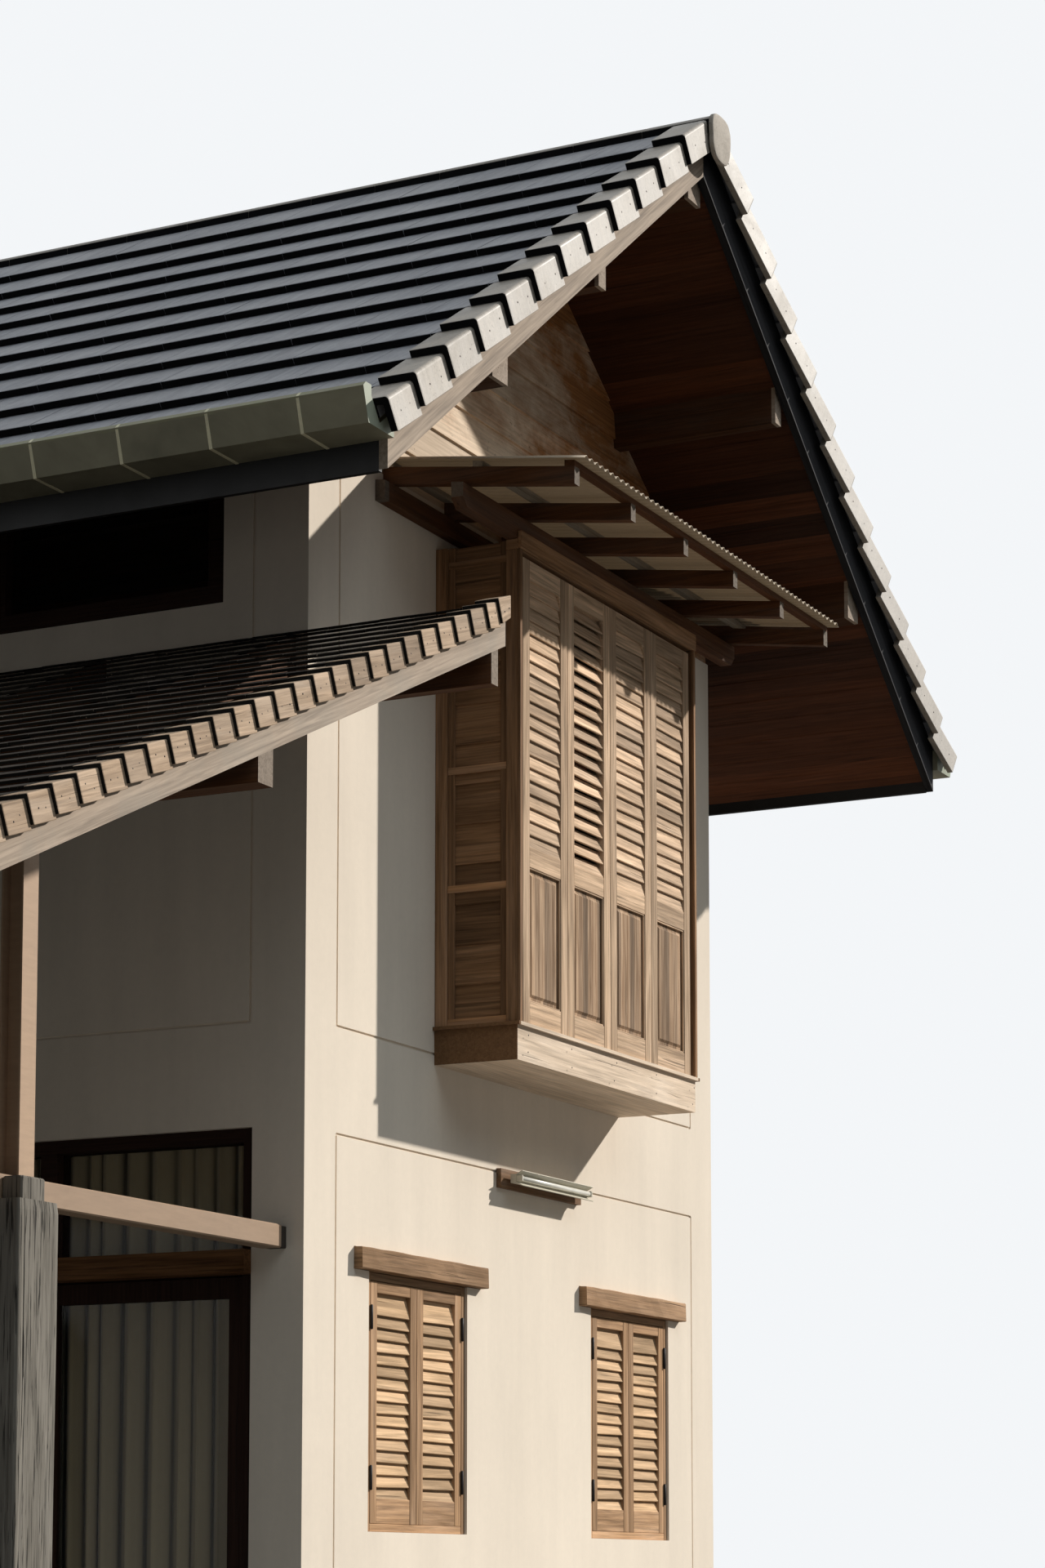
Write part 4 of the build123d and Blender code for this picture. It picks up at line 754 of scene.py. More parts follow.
def lay_ridge(sizes, colours):
    """Ridge tiles of an angled section, a thin joint between them, and a rounded rough cap at each gable."""
    material = cement_tile("ridge_tile", colours.barge_tile, 0.42, 0.75, 0.6, 0.2, 0.4)
    front = BARGE_TILE_FRONT - BARGE_TILE_STEP
    edges = np.linspace(front, -front, round(-2 * front / sizes.ridge_cover) + 1)
    half, foot, shoulder, top, crown = 0.100, 8.0, 8.074, 8.113, 0.040
    right = np.array([(half, foot), (half, shoulder - 0.003), (half - 0.003, shoulder + 0.002),
                      (crown + 0.004, top - 0.003), (crown - 0.004, top)])
    ring = np.concatenate([right, right[::-1] * [-1, 1]])
    drawn = np.array([0.985, 1.0, 1.0, 0.985])[:, None]
    ys = np.stack([edges[:-1] + 0.0015, edges[:-1] + 0.004, edges[1:] - 0.004, edges[1:] - 0.0015], 1)
    rings = joined(ring[:, 0] * drawn, ys[:, :, None], foot + (ring[:, 1] - foot) * drawn)
    # The ridge tiles' upright sides, 0 and 8, are painted near black as shade.
    lay("ridge_tile_row", rings, material, 21, "roof_tile", "ridge_tiles", painted_shade_sides=(0, 8))
    angle = np.linspace(0, 2 * pi, 40, endpoint=False)
    c, s = np.cos(angle), np.sin(angle)
    across = np.sign(c) * np.abs(c) ** 0.7 * 0.112
    up = np.where(s > 0, np.abs(s) ** 0.6 * 0.102, -np.abs(s) ** 0.9 * 0.135)
    size = np.array([1.0, 1.0, 0.97, 0.90, 0.7, 0.05])[:, None]
    out = np.array([0.012, -0.005, -0.009, -0.0105, -0.0115, -0.012])[:, None]
    wobble = np.minimum(1 + 0.03 * np.sin(angle * 5 + 1) + 0.02 * np.sin(angle * 9), 1)
    cap = joined(across * size * wobble, front + out, 8.012 + up * size)[None]
    plaster = cement_tile("ridge_end_cap", colours.barge_tile, 1.5, 0.8, 0.8, 0.2, 0.6)
    lay("ridge_end_caps", both_gables(cap), plaster, 22, "roof_tile")


def finish_roof_timber(_, colours):
    """Boards and beams of the roof: soffit, rafters, purlins, barge boards, fascias and the gable's boards."""
    up_slope = (-cos(PITCH), 0.0, sin(PITCH))
    dress(timber("soffit_boards", colours.soffit, 1.0, 0.5, "OBJECT", 1, (*up_slope, 0.14, 0.0), 0.6, 0.1, 0.55),
          "soffit_boards")
    pale_end = ("Y", 4.866, scaled(colours.barge_board, 0.8))
    dress(timber("roof_beams", colours.roof_timber, 0.5, 0.25, "OBJECT", 1, ends=pale_end),
          "roof_purlins", "ridge_beam", "rafters")
    dress(flaked_boards(colours.gable), "gable_boarding")
    dress(barge_board_colours(colours.barge_board), "barge_boards")
    dress(painted_metal("black_fascia", srgb(26, 25, 24), 0.55, 0.3, 2.0), "fascias")


def hang_gutter_straps(sizes, colours):
    """Straps round the gutters: a flat strip carried down the trough's front and under its floor."""
    base, outer = EAVE - 0.208, EAVE - 0.253
    fold, top, bottom = 5.692, 5.712, 5.553
    path = np.array([(outer + 0.024, top - 0.001), (outer, fold), (base, bottom), (EAVE - 0.004, bottom)])
    away = np.array([(-0.7, 0.7), (-1.0, 0.15), (-0.75, -0.75), (0.0, -1.0)]) * 0.0025
    ys = np.linspace(-4.665, 4.665, round(9.33 / sizes.strap_spacing) + 1)
    out, wide = np.array([(1.4, -0.007), (1.4, 0.007), (-0.2, 0.007), (-0.2, -0.007)]).T
    x, z = (path[:, axis, None] + away[:, axis, None] * out for axis in (0, 1))
    rings = joined(np.maximum(x, outer), ys[:, None, None] + wide, z)
    dress(gutter_paint(colours.gutter), "gutters")
    strap = painted_metal("gutter_strap", scaled(colours.gutter, 2.6), 0.5, 0.4, 5.0)
    lay("gutter_straps", both_sides(rings), strap, 31, "gutter_metal")


# The bay.
def build_bay(_, colours):
    """The bay's posts, head and studs as boards, its lapped sides and its base."""
    front, back, half, lintel, top = BAY_FRONT + 0.06, FRONT - 0.06, 1.003, 5.765, 5.815
    wood, sides, battens = Boards(), Boards(), Boards()
    wood.bar((-half, BAY_FRONT, lintel), (half, front, top), 0)
    wood.bar((-half + 0.026, BAY_FRONT + 0.036, BAY_HEAD), (half - 0.026, front, lintel), 0)
    wood.bar((-half, BAY_FRONT - 0.02, lintel), (half, BAY_FRONT, 5.850), 0)
    posts = ((0, 0.026, BAY_FRONT, front, lintel), (0.026, 0.052, BAY_FRONT + 0.03, front, BAY_HEAD),
             (0, 0.052, back, FRONT, top), (-0.001, 0.026, BAY_FRONT - 0.014, BAY_FRONT, lintel))
    for side in (-1, 1):
        for outer, inner, y0, y1, high in posts:
            wood.bar((side * (half - outer), y0, BAY_FOOT), (side * (half - inner), y1, high), 2)
    dark = timber("bay_frame_timber", colours.bay_side, 1.1, 0.4, wear=0.15, stain=0.3)
    lay("bay_frame_boards", wood.rings(0.003), dark, 41, "pale_timber", "bay_frame")
    boards = 12
    step = (top - BAY_FOOT) / boards
    for side in (-1, 1):
        face = side * (half - 0.02)
        for board in range(boards):
            low = np.array([face, 0, BAY_FOOT + board * step])
            high = np.array([face - side * 0.009, 0, min(BAY_FOOT + (board + 1) * step + 0.006, top)])
            middle = (low + high) / 2 - (side * 0.006, 0, 0)
            sides.add(middle + (0, front, 0), middle + (0, back, 0), (high - low) / 2, (0.006, 0, 0.0003))
        for share in (0.0, 0.28, 0.53, 0.97):
            z = BAY_FOOT + share * (top - BAY_FOOT - 0.034)
            battens.bar((side * (half - 0.010), front, z), (side * (half - 0.036), back, z + 0.034), 1)
        for y in (front, FRONT - 0.095):
            sides.bar((side * (half - 0.013), y, BAY_FOOT), (side * (half - 0.034), y + 0.035, top), 2)
    lapped = timber("bay_side_boards", colours.bay_side, 1.0, 0.42, wear=0.1, spread=0.4, stain=0.3)
    lay("bay_side_boards", sides.rings(), lapped, 42, "dark_timber", "bay_sides")
    # Painted highlight: the battens are 1.6 times paler than the boards, standing for their lit edges.
    battens_painted_light = timber("bay_batten_timber", colours.bay_side, 1.6, 0.7, wear=0.3)
    lay("bay_side_battens", battens.rings(), battens_painted_light, 45, "dark_timber")
    rotten = ("X", 1.0028, scaled(colours.bay_side, 0.7))
    dress(timber("bay_sill_board", colours.sill, 1.0, 0.6, "OBJECT", 0, wear=0.2, crack=0.35, ends=rotten), "bay_base")
    chance = np.random.default_rng(43)
    x = np.repeat([-0.93, -0.46, 0.02, 0.49, 0.94], 2) + chance.normal(0, 0.01, 10)
    z = np.tile([3.42, 3.505], 5) + chance.normal(0, 0.006, 10)
    points = np.stack([x, np.full(10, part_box("bay_base")[0][1] + 0.0012), z], -1)
    lay("sill_nails", nails(points, 0.004, 0.001), hinge_iron(), 44, "pale_timber", smooth=True)


def corner_ring(x, z, wide, tall):
    """A bracket's outline (n, 2) in a leaf's corner: two straight sides and a hollow curve."""
    turn = np.linspace(0, pi / 2, 6)
    curve = np.stack([x + wide * (1 - np.sin(turn)), z - tall * (1 - np.cos(turn))], -1)
    return np.concatenate([[(x, z)], curve])


def build_bay_shutters(_, colours):
    """Four leaves: stiles, rails and slats as boards, a raised panel below and a bracket in each top corner."""
    front, foot, thick, clear, gap, stile, slats = BAY_FRONT, BAY_FOOT, 0.045, 1.902, 0.003, 0.072, 20
    width, head = (clear - 5 * gap) / 4, BAY_HEAD - gap
    rail, leaf_top = foot + (head - foot) * 0.38, head - 0.09
    low, high = foot + 0.11, rail - 0.096
    step = (leaf_top - rail) / slats
    wood, sides, brackets = Boards(), [], []
    chance = np.random.default_rng(51)
    for leaf in range(4):
        x0 = -clear / 2 + gap + leaf * (width + gap)
        a, b = x0 + stile, x0 + width - stile
        for x in (x0, b):
            wood.bar((x, front, foot), (x + stile, front + thick, head), 2)
        for z0, z1 in ((foot, low), (high, rail), (leaf_top, head)):
            wood.bar((a, front + 0.001, z0), (b, front + thick - 0.001, z1), 0)
        tilt, deep, back = (radians(65), 0.067, 0.021) if leaf == 1 else (radians(77), 0.072, 0.015)
        for slat in range(slats):
            turn = max(tilt + chance.normal(0, radians(1.6)), tilt - radians(0.3))
            middle = np.array([0, front + back, rail + (slat + 0.5) * step + chance.normal(0, 0.0012)])
            sag = chance.normal(0, 0.0012)
            reach = 0.5 * deep * np.array([0, cos(turn), sin(turn)])
            flat = 0.0045 * np.array([0, -sin(turn), cos(turn)])
            wood.add(middle + (a - 0.004, 0, sag), middle + (b + 0.004, 0, -sag), reach, flat)
        for x in (a, b - 0.007):
            wood.bar((x, front + 0.004, low), (x + 0.007, front + 0.014, high), 2)
        for z in (low, high - 0.007):
            wood.bar((a, front + 0.004, z), (b, front + 0.014, z + 0.007), 0)
        sides.append((a, b))
        brackets += [corner_ring(b, leaf_top, -0.030, 0.085), corner_ring(a, leaf_top, 0.014, 0.030)]
    teak = timber("shutter_teak", colours.teak, 1.0, 0.42, wear=0.12, spread=0.3, stain=0.34)
    lay("bay_leaf_boards", wood.rings(0.0022), teak, 52, "pale_timber", "bay_shutters")
    a, b = np.array(sides).T[..., None]
    inset = np.array([0.0, 0.0, 0.024, 0.036])
    field = joined(np.stack([a + inset, b - inset, b - inset, a + inset], -1),
                   front + np.array([0.031, 0.017, 0.016, 0.008])[:, None],
                   np.stack([low + inset, low + inset, high - inset, high - inset], -1))
    panel_wood = timber("panel_teak", colours.teak, 0.62, 0.55, "OBJECT", 2, (1.0, 0, 0, 0.052, 0.03), wear=0.08,
                        spread=0.4, stain=0.3, under=colours.bay_side)
    lay("bay_leaf_panels", field, panel_wood, 53, "pale_timber")
    lay("bay_leaf_brackets", carried(np.array(brackets), front + 0.002, front + 0.014), teak, 54, "pale_timber")


# The canopy.
def build_canopy(_, colours):
    """The corrugated sheet: height = fall of the rafters + half a wave's height times cosine across."""
    x = np.linspace(-CANOPY_HALF, CANOPY_HALF, CANOPY_WAVES * 10 + 1)
    grid_x, grid_y = np.meshgrid(x, np.linspace(FRONT - 1.020, FRONT, 14), indexing="ij")
    base = rafter_line(grid_y) + 0.108 / cos(CANOPY_FALL)
    wobble = 0.0012 * np.sin(grid_x * 3.1) * np.sin((grid_y - FRONT) * 5.0)
    wave = 0.0095 - 0.0085 * np.cos((grid_x + CANOPY_HALF) / CANOPY_PITCH * 2 * pi)
    lower = np.stack([grid_x, grid_y, base + wave + np.abs(wobble)], -1)
    sheet = shell_piece("corrugated_canopy", lower + np.array([0, 0, 0.0022]), lower,
                        weathered_sheet(colours.sheet), lower[..., :2])
    settle(sheet, "corrugated_sheet", "canopy_sheet")
    crests = np.array([-1.45, -0.84, -0.23, 0.38, 0.99, 1.45]) + CANOPY_HALF
    crests = (np.round(crests / CANOPY_PITCH - 0.5) + 0.5) * CANOPY_PITCH - CANOPY_HALF
    screws = [(x, y, rafter_line(y) + 0.1292) for y in (FRONT - 0.94, FRONT - 0.49, FRONT - 0.05) for x in crests]
    lay("canopy_screws", turned(screws, [0.011, 0.011, 0.005, 0.004], [-0.001, 0.0015, 0.003, 0.007], 2),
        hinge_iron(), 61, "corrugated_sheet", smooth=True)
    cut_end = scaled(colours.barge_board, 0.36)
    for name, colour, pale, dark, axis, ends in (
            ("canopy_rafters", colours.roof_timber, 0.75, 0.3, 1, ("Y", 4.9635, cut_end)),
            ("canopy_beams", colours.roof_timber, 0.8, 0.35, 0, ("X", 1.5495, cut_end)),
            ("canopy_battens", colours.sheet, 0.6, 0.35, 0, ("Y", 4.80, scaled(colours.roof_timber, 0.6)))):
        dress(timber(name, colour, pale, dark, "OBJECT", axis, ends=ends), name)


# Windows.
def at_windows(rings):
    """Rings made for a window whose sill centre is the origin and whose wall faces -y, set in every window."""
    low, high = 1.250, 4.560
    places = [(-1.139, FRONT, low, 0), (1.139, FRONT, low, 0), (1.139, -FRONT, low, 180), (-1.139, -FRONT, low, 180),
              (0, -FRONT, high, 180), (-LEFT, -2.2, low, 90), (-LEFT, 2.2, low, 90), (LEFT, 2.0, low, -90)]
    made = []
    for *place, turn in places:
        c, s = cos(radians(turn)), sin(radians(turn))
        made.append(rings @ np.array([[c, s, 0], [-s, c, 0], [0, 0, 1.0]]) + np.array(place))
    return np.concatenate(made)


def build_windows(_, colours):
    """Frames, leaves with open slats and hinges of the louvred windows."""
    half, height, edge, y0, thick = 0.4705, 1.140, 0.036, 0.012, 0.045
    outer, leaves, slats = Boards(), Boards(), Boards()
    for side in (-1, 1):
        outer.bar((side * half, y0, 0), (side * (half - edge), y0 + 0.1, height), 2)
    for z in (0, height - edge):
        outer.bar((-half + edge, y0 + 0.001, z), (half - edge, y0 + 0.099, z + edge), 0)
    wood = timber("window_frame_timber", colours.lintel, 1.05, 0.45, wear=0.15)
    lay("window_frame_boards", at_windows(outer.rings(0.003)), wood, 71, "pale_timber", "window_frames")
    clear = 2 * (half - edge)
    width, tall, gap, stile = (clear - 0.009) / 2, height - 2 * edge - 0.003, 0.003, 0.060
    foot, head = edge + 0.110, edge + tall - 0.050
    last = head - 0.095
    levels = np.append(np.linspace(foot, last, round((last - foot) / 0.054) + 1), head)
    chance = np.random.default_rng(72)
    for leaf in (0, 1):
        x0 = -clear / 2 + gap + leaf * (width + gap)
        a, b = x0 + stile, x0 + width - stile
        for x in (x0, b):
            leaves.bar((x, y0, edge), (x + stile, y0 + thick, edge + tall), 2)
        for low, high in ((edge, foot), (head, edge + tall)):
            leaves.bar((a, y0 + 0.001, low), (b, y0 + thick - 0.001, high), 0)
        for low, high in zip(levels[:-1], levels[1:]):
            start = np.array([0, y0 + 0.007 + chance.uniform(0, 0.004), low - 0.003])
            end = np.array([0, y0 + 0.030, high + 0.004])
            reach = (end - start) / 2
            flat = 0.0045 * np.array([0, -reach[2], reach[1]]) / np.linalg.norm(reach)
            middle, tip = (start + end) / 2, chance.normal(0, 0.0012)
            slats.add(middle + (a - 0.003, 0, tip), middle + (b + 0.003, 0, -tip), reach, flat)
    stiles = timber("window_stiles", colours.lintel, 0.95, 0.4, wear=0.15, spread=0.25, stain=0.35)
    lay("window_leaf_boards", at_windows(leaves.rings()), stiles, 73, "pale_timber", "window_shutters")
    teak = timber("window_slats", colours.slat, 1.0, 0.5, wear=0.1, spread=0.3, stain=0.3)
    lay("window_slat_boards", at_windows(slats.rings()), teak, 77, "pale_timber")
    points = [(side * (clear / 2 - 0.001), y0 - 0.006, edge + z) for side in (-1, 1) for z in (0.20, 0.905)]
    along = 0.11 * np.array([-0.5, -0.47, 0, 0.47, 0.5])
    barrels = turned(points, 0.007 * np.array([0.4, 1.0, 1.0, 1.0, 0.4]), along, 2)
    lay("window_hinges", at_windows(barrels), hinge_iron(), 74, "pale_timber", smooth=True)


def build_lintels(_, colours):
    """Rough lintels: a box section whose corners wander by a few millimetres along its length."""
    half, reach, bearing, z0, tall, stations = 0.6065, 0.045, 0.105, 1.140, 0.100, 14
    corners = np.array([(-reach, 0.004), (-reach + 0.005, 0), (bearing, 0), (bearing, tall),
                        (-reach + 0.006, tall), (-reach, tall - 0.006)])
    inward = np.array([(1, 0.4), (0.4, 1), (0, 0), (0, 0), (0.4, -1), (1, -0.4)])
    rough = np.random.default_rng(75).random((stations, 6)) * 0.004
    y, z = np.moveaxis(corners + inward * rough[..., None] + (0, z0), -1, 0)
    rings = joined(np.linspace(-half, half, stations)[:, None], y, z)[None]
    wood = timber("lintel_timber", colours.lintel, 1.0, 0.45, wear=0.12, crack=0.8, stain=0.3)
    lay("rough_lintels", at_windows(rings), wood, 76, "pale_timber", "window_lintels")


def finish_strip_windows(_, colours):
    wood = timber("strip_frame_timber", colours.frame, 1.0, 0.45, "OBJECT", 1, wear=0.15)
    dress(wood, "strip_window_frames")
    dress(window_glass(), "strip_window_glass")


# The lamp.
def build_lamp(_, colours):
    """A batten lamp: a hat section carried along the board, with holders and a round tube."""
    x0, x1, middle, back = LEFT + 1.870, LEFT + 2.650, 2.9325, FRONT - 0.047
    white = painted_metal("lamp_enamel", srgb(206, 200, 182), 0.4, 0.35, 12.0)
    hat = np.array([(0.0, -0.021), (-0.028, -0.021), (-0.062, -0.037), (-0.064, -0.034), (-0.031, -0.017)])
    ring = np.concatenate([hat, hat[::-1] * [1, -1]]) + (back, middle)
    lay("lamp_body", joined(np.array([[x0], [x1]]), *ring.T)[None], white, 81, "painted_steel", "wall_lamp")
    holders = Boards()
    for x in (x0, x1 - 0.016):
        holders.bar((x, back - 0.061, middle - 0.015), (x + 0.016, back - 0.030, middle + 0.015), 0)
    for x in (x0 + 0.17, x1 - 0.21):
        holders.bar((x, back - 0.001, middle - 0.012), (x + 0.04, back + 0.022, middle + 0.012), 0)
    lay("lamp_holders", holders.rings(0.003), white, 82, "painted_steel")
    tube = turned([(0, back - 0.046, middle)], 0.0125 * np.array([0.6, 1.0, 1.0, 0.6]),
                  [x0 + 0.014, x0 + 0.018, x1 - 0.018, x1 - 0.014], 0, 20)
    lay("lamp_tube", tube, lamp_tube_glass(), 83, "painted_steel", smooth=True)
    dress(timber("lamp_board_timber", colours.bay_side, 0.95, 0.4, "OBJECT", 0), "lamp_board")


# The door and its curtains.
def finish_door(_, colours):
    upright = timber("door_uprights", colours.frame, 1.0, 0.45, "OBJECT", 2, wear=0.15)
    dress(upright, "door_jambs", "fixed_door_leaf", "sliding_door_leaf")
    level = timber("door_rails", colours.frame, 1.0, 0.45, "OBJECT", 1, wear=0.15)
    dress(level, "door_head", "door_sill")
    pelmet = timber("door_pelmet_timber", srgb(128, 88, 52), 1.0, 1.0, "OBJECT", 1, wear=0.1, stain=0.3,
                    under=srgb(70, 42, 22))
    dress(pelmet, "door_pelmet")
    dress(window_glass(), "fixed_door_glass", "sliding_door_glass")
    dress(painted_metal("curtain_track_paint", srgb(188, 184, 176), 0.45), "curtain_track")


def hang_curtains(sizes, colours):
    """Two pleated curtains: depth = a round wave across, tight at the heading and looser below.

    The wave's phase drifts with the height, so no two folds fall alike, and the pleats' widths vary.
    """
    low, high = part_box("curtains")
    x_middle, reach = (low[0] + high[0]) / 2, (high[0] - low[0]) / 2 - 0.003
    middle, tall = (low[1] + high[1]) / 2, high[2] - low[2]
    cloth = curtain_cloth(colours.curtain, x_middle)
    chance = np.random.default_rng(61)
    for number, (y0, y1) in enumerate(((low[1], middle - 0.012), (middle + 0.012, high[1]))):
        pleats = round((y1 - y0) / sizes.pleat_width)
        s, t = np.meshgrid(np.linspace(0, 1, pleats * 16 + 1), np.linspace(0, 1, 40), indexing="ij")
        drift = 0.5 * np.sin(2.3 * t + 5 * s + number) * t
        widths = np.cumsum(np.append(0, chance.uniform(0.55, 1.45, pleats)))
        turn = 2 * pi * np.interp(s, widths / widths[-1], np.arange(pleats + 1)) + drift
        loose = 0.7 + 0.3 * np.minimum(1, t * 3)
        deep = np.minimum(reach, sizes.pleat_depth / 2 * loose * (1 + 0.25 * np.sin(11 * s + number)))
        x = x_middle + deep * np.sin(turn + 0.7 * np.sin(turn))
        lean = 0.008 * np.sin(2 * turn) * loose * np.sin(pi * s) ** 0.2
        outer = np.stack([x - 0.0008, y0 + (y1 - y0) * s + lean, high[2] - tall * t], -1)
        run = np.linalg.norm(np.diff(outer[:, 20], axis=0), axis=1).sum()
        sheet = shell_piece(f"curtain_{number + 1}", outer, outer + np.array([0.0016, 0, 0]), cloth,
                            np.stack([s * run, t * tall], -1))
        settle(sheet, "curtain_cloth", *(() if number else ("curtains",)))


# The porch.
def lay_shingles(sizes, colours):
    """Shingles of uneven width down the porch roof, each a thin wedge carried along the house."""
    ends = porch_courses()
    chance = np.random.default_rng(91)
    reach = 4.9605
    rows = []
    for start, end in zip(np.append(-0.078, ends[:-1]), ends):
        steps = sizes.shingle_width * chance.uniform(0.7, 1.35, 140)
        edges = -reach + np.cumsum(steps) - steps[0]
        edges = np.append(edges[edges < reach - 0.04], reach)
        rows += [(start, end, y0, y1) for y0, y1 in zip(edges[:-1], edges[1:])]
    start, end, y0, y1 = np.array(rows).T
    end = end - chance.uniform(0, 0.005, len(end))
    high = PORCH_TOP + PORCH_BUTT + chance.uniform(-0.0022, 0.0, len(end))
    back = np.where(start > 0, 0.03, 0.0)
    low = high - PORCH_BUTT * (end - start + back) / (end - start)
    section = [(end, high - 0.012), (end, high - 0.002), (end - 0.002, high), (start - back, low),
               (start - back, low - 0.008)]
    rings = carried(np.stack([porch_point(along, rise) for along, rise in section], 1), y0 + 0.0015, y1 - 0.0015)
    rings[..., 0] = np.minimum(rings[..., 0], LEFT - 0.001)
    material = weathered_shingle(colours.shingle, srgb(196, 180, 158))
    # The butt faces, sides 0 and 1, are painted dark as shade.
    lay("shingle_courses", rings, material, 92, "dark_timber", "porch_shingles", painted_shade_sides=(0, 1))


def lay_porch_blocks(_, colours):
    """Angled timber blocks at both ends of the porch roof, each stepped over the next, with two nails."""
    ends = porch_courses()
    section = angle_ring(0.115, 0.108, 0.020, 0.005, 0.002)
    rings, points = stepped(section, porch_point, ends, np.append(ends[0] - PORCH_COURSE, ends[:-1]), PORCH_TOP + 0.021,
                            PORCH_BUTT, PORCH_BLOCK_FRONT, PORCH_BLOCK_STEP, PORCH_PITCH, 95, (0.28, 0.66), 0.058,
                            (0.005, 0.007))
    rings[..., 0] = np.minimum(rings[..., 0], LEFT)
    wood = timber("porch_block_timber", colours.porch_block, 1.0, 0.5, wear=0.2, spread=0.28)
    # Each block's butt, its first end, is painted near black as shade.
    lay("porch_block_row", both_gables(rings), wood, 94, "pale_timber", "porch_barge_blocks", painted_shade_end=True)
    heads = both_gables(nails(points[points[:, 0] < LEFT - 0.01], 0.0035))
    lay("porch_block_nails", heads, hinge_iron(), 96, "pale_timber", smooth=True)


def finish_porch_timber(_, colours):
    dress(porch_barge_timber(colours.barge_board), "porch_barge_boards")
    pale_end = ("Y", 4.9595, scaled(colours.barge_board, 0.6))
    dress(timber("porch_beams", colours.roof_timber, 0.8, 0.4, "OBJECT", 1, ends=pale_end), "porch_purlins")
    dress(timber("porch_rafters", colours.roof_timber, 0.9, 0.45, "OBJECT", 0), "porch_rafters")


def raise_posts(_, colours):
    """Old squared posts: a rounded square section up the post, drawn in along upright cracks and by wear.

    Each crack is a narrow dip round the section whose place drifts with the height, and the corners are
    drawn in by a slow noise of sines.
    """
    chance = np.random.default_rng(101)
    sides, stations, cracks = 192, 60, 34
    t = np.linspace(0, 4, sides, endpoint=False)
    corner, share = np.floor(t).astype(int), t - np.floor(t)
    ends = np.array([(-1, -1), (1, -1), (1, 1), (-1, 1), (-1, -1)], float)
    square = ends[corner] + (ends[corner + 1] - ends[corner]) * share[:, None]
    section = square / np.maximum(1, np.linalg.norm(square, axis=1, keepdims=True) / 1.365)
    z = np.linspace(0, 2.440, stations)
    rings = np.empty((len(POSTS), stations, sides, 3))
    rings[..., 2] = z[:, None]
    tongues, beams, stubs = Boards(), Boards(), Boards()
    for ring, (x, y) in zip(rings, POSTS):
        drawn = 0.003 + 0.002 * np.sin(t * 3 + chance.uniform(0, 6))[None] * np.sin(z * 1.7 + 1)[:, None]
        for _ in range(cracks):
            place = chance.uniform(0, 4) + 0.05 * np.sin(z * chance.uniform(0.6, 2.5) + chance.uniform(0, 6))
            off = np.abs((t[None] - place[:, None] + 2) % 4 - 2)
            reach = np.exp(-((z - chance.uniform(0, 2.4)) / chance.uniform(0.12, 0.6)) ** 2)[:, None]
            drawn = drawn + chance.uniform(0.002, 0.006) * np.clip(1 - off / 0.024, 0, 1) * reach
        size = (0.135 - np.clip(drawn, 0, 0.014)) * (1 - 0.03 * (z > 2.43))[:, None]
        ring[..., :2] = (x, y - 0.035) + section * size[..., None]
        tongues.bar((x - 0.0775, y - 0.14, 2.436), (x + 0.0775, y - 0.05, 2.530), 2)
    old = timber("old_post_timber", colours.post, 1.0, 0.5, wear=0.2, spread=0.1, crack=0.97, stain=0.25,
                 shake=(0.38, 0.42, 110.0, 3.5))
    lay("old_posts", rings, old, 102, "pale_timber", "timber_posts")
    lay("post_tongues", tongues.rings(0.006), old, 103, "pale_timber")
    steel = painted_metal("painted_steel", colours.steel, 0.42, 0.2, 2.6)
    # Painted light: the posts take the beams' paint made 1.35 times paler, as if lit.
    dress(painted_metal("steel_posts_painted_light", scaled(colours.steel, 1.35), 0.42, 0.2, 2.6), "steel_posts")
    low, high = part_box("steel_beams")
    for y in POST_LINES:
        beams.bar((low[0], y - 0.05, low[2]), (high[0] - 0.062, y + 0.05, high[2]), 0)
        stubs.bar((high[0] - 0.064, y - 0.036, low[2] + 0.003), (high[0], y + 0.046, high[2] - 0.003), 0)
    lay("boxed_steel_beams", beams.rings(0.006), steel, 104, "painted_steel", "steel_beams")
    # Painted shade: dark stubs at the beams' ends by the wall, where the house's corner shades them.
    stub_shade = painted_metal("beam_stub_painted_shade", srgb(48, 42, 36), 0.6)
    lay("beam_stubs", stubs.rings(0.003), stub_shade, 105, "painted_steel")


# The stage.
def aim(thing, direction):
    """Turns a lamp or the camera along a direction, its top upwards."""
    thing.rotation_euler = Vector(direction).to_track_quat("-Z", "Y").to_euler()
    bpy.context.scene.collection.objects.link(thing)


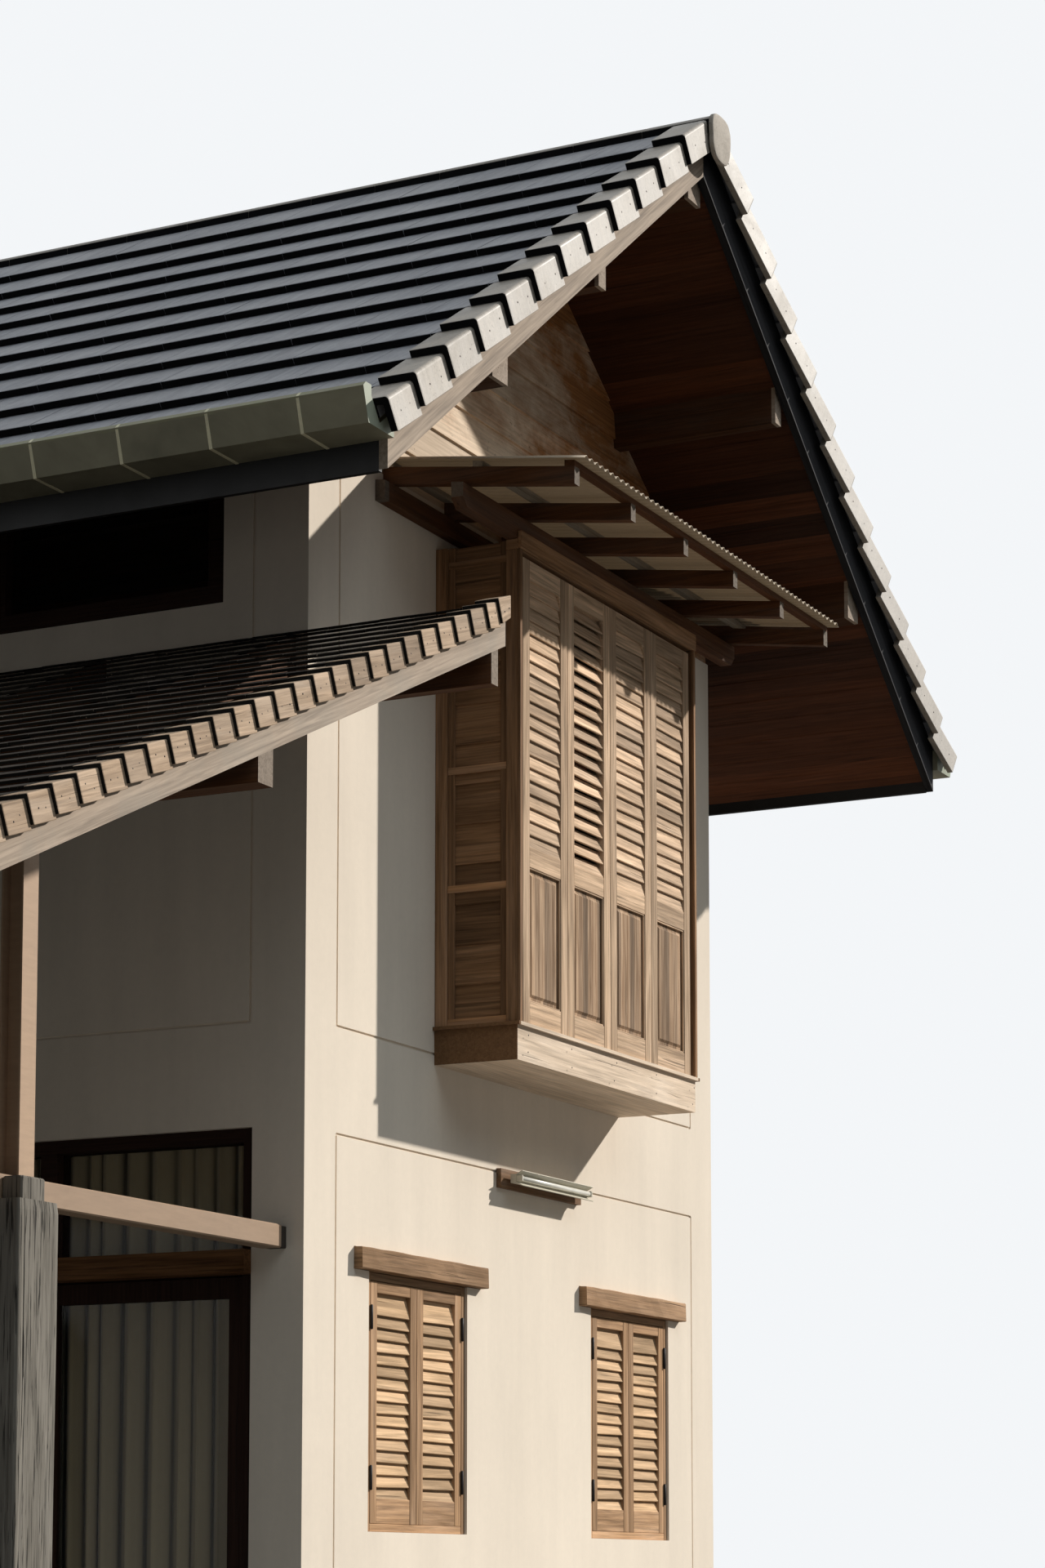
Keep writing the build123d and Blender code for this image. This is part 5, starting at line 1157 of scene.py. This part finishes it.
def light_stage(sizes, _):
    """A pale floor, a white surround, one main lamp with a soft one from above, and the camera."""
    look = Finish("pale_floor", 0.9)
    pale = look.veil((0.60, 0.59, 0.58), (0.62, 0.61, 0.60), look.noise((0.3, 0.3, 0.3), 2.0), 0.3, 0.7)
    seen = look.node("LightPath").outputs["Is Camera Ray"]
    material = look.done(look.mix(seen, (0.13, 0.13, 0.125), pale))
    step = np.linspace(-60, 60, 13)
    x, y = np.meshgrid(step, step, indexing="ij")
    mesh_piece("floor", np.stack([x, y, 0 * x - 0.001], -1), [grid_faces(13, 13)], material)
    world = bpy.data.worlds.new("surround")
    bpy.context.scene.world = world
    world.use_nodes = True
    world.node_tree.nodes.clear()
    sky = Nodes(world.node_tree)
    rays = sky.node("LightPath").outputs
    shown = sky.math("MAXIMUM", rays["Is Camera Ray"], rays["Is Glossy Ray"])
    shown = sky.math("MAXIMUM", shown, rays["Is Transmission Ray"])
    light = sky.node("Background", {"Color": (0.93, 0.96, 1.0), "Strength": sizes.sky})
    white = sky.node("Background", {"Color": (0.90, 0.92, 0.94)})
    both = sky.node("MixShader", {0: shown, 1: light.outputs[0], 2: white.outputs[0]})
    sky.node("OutputWorld", {"Surface": both.outputs[0]})
    for name, strength, spread, colour, direction in (
            ("main_lamp", sizes.sun, 1.2, (1.0, 0.955, 0.89), (-0.693, 0.554, -0.51)),
            ("fill_lamp", sizes.fill, 60, (0.82, 0.93, 1.0), (0.22, 0.5, -0.84))):
        lamp = bpy.data.lights.new(name, "SUN")
        lamp.energy, lamp.angle, lamp.color = strength, radians(spread), colour
        aim(bpy.data.objects.new(name, lamp), direction)
    camera = bpy.data.cameras.new("camera")
    camera.lens, camera.sensor_width, camera.shift_y, camera.clip_end = 80.454, 36.0, 0.25, 500
    eye = bpy.data.objects.new("camera", camera)
    eye.location = (-15.0501, -11.4425, 1.0026)
    yaw, tilt = radians(26.4566), radians(6.7173)
    aim(eye, (cos(yaw) * cos(tilt), sin(yaw) * cos(tilt), sin(tilt)))
    bpy.context.scene.camera = eye
    bpy.context.scene.view_settings.view_transform = "Standard"


# Operators.
class Step:
    """Runs a step's builders with the scene's sizes and colours."""

    def execute(self, context):
        for build in self.builders:
            build(context.scene.villa_sizes, context.scene.villa_colours)
        return {"FINISHED"}


class VILLA_OT_walls(Step, bpy.types.Operator):
    """Finish the rendered walls and the floors"""
    bl_idname, bl_label = "villa.walls", "Walls and floors"
    builders = (finish_walls,)


class VILLA_OT_roof_tiles(Step, bpy.types.Operator):
    """Lay the roof tiles, the barge tiles and the ridge"""
    bl_idname, bl_label = "villa.roof_tiles", "Roof tiles"
    builders = (lay_roof_tiles, lay_barge_tiles, lay_ridge)


class VILLA_OT_roof_timber(Step, bpy.types.Operator):
    """Finish the boards and beams of the roof and hang the gutters' straps"""
    bl_idname, bl_label = "villa.roof_timber", "Roof timber and gutters"
    builders = (finish_roof_timber, hang_gutter_straps)


class VILLA_OT_bay(Step, bpy.types.Operator):
    """Build the bay's frame, sides and shutters"""
    bl_idname, bl_label = "villa.bay", "Bay"
    builders = (build_bay, build_bay_shutters)


class VILLA_OT_canopy(Step, bpy.types.Operator):
    """Build the corrugated canopy over the bay"""
    bl_idname, bl_label = "villa.canopy", "Canopy"
    builders = (build_canopy,)


class VILLA_OT_windows(Step, bpy.types.Operator):
    """Build the louvred windows and finish the strip windows"""
    bl_idname, bl_label = "villa.windows", "Windows"
    builders = (build_windows, build_lintels, finish_strip_windows)


class VILLA_OT_lamp(Step, bpy.types.Operator):
    """Build the lamp on the gable"""
    bl_idname, bl_label = "villa.lamp", "Lamp"
    builders = (build_lamp,)


class VILLA_OT_door(Step, bpy.types.Operator):
    """Finish the sliding door and hang its curtains"""
    bl_idname, bl_label = "villa.door", "Door and curtains"
    builders = (finish_door, hang_curtains)


class VILLA_OT_porch(Step, bpy.types.Operator):
    """Lay the porch roof and raise its posts"""
    bl_idname, bl_label = "villa.porch", "Porch"
    builders = (lay_shingles, lay_porch_blocks, finish_porch_timber, raise_posts)


class VILLA_OT_stage(Step, bpy.types.Operator):
    """Set the floor, the light and the camera"""
    bl_idname, bl_label = "villa.stage", "Stage"
    builders = (light_stage,)


STEPS = (VILLA_OT_walls, VILLA_OT_roof_tiles, VILLA_OT_roof_timber, VILLA_OT_bay, VILLA_OT_canopy,
         VILLA_OT_windows, VILLA_OT_lamp, VILLA_OT_door, VILLA_OT_porch, VILLA_OT_stage)


class VILLA_PT_panel(bpy.types.Panel):
    """Lists the villa's steps, sizes and colours"""
    bl_idname = "VILLA_PT_panel"
    bl_label = "Villa"
    bl_space_type = "VIEW_3D"
    bl_region_type = "UI"
    bl_category = "Villa"

    def draw(self, context):
        for step in STEPS:
            self.layout.operator(step.bl_idname)
        for key in SIZES:
            self.layout.prop(context.scene.villa_sizes, key)
        for key in COLOURS:
            self.layout.prop(context.scene.villa_colours, key)


CLASSES = (VillaColours, VillaSizes, *STEPS, VILLA_PT_panel)


def register():
    for cls in CLASSES:
        bpy.utils.register_class(cls)
    bpy.types.Scene.villa_colours = bpy.props.PointerProperty(type=VillaColours)
    bpy.types.Scene.villa_sizes = bpy.props.PointerProperty(type=VillaSizes)


def unregister():
    del bpy.types.Scene.villa_sizes
    del bpy.types.Scene.villa_colours
    for cls in reversed(CLASSES):
        bpy.utils.unregister_class(cls)


def main():
    register()
    for step in STEPS:
        group, name = step.bl_idname.split(".")
        getattr(getattr(bpy.ops, group), name)()
    bpy.context.view_layer.update()


if __name__ == "__main__":
    main()
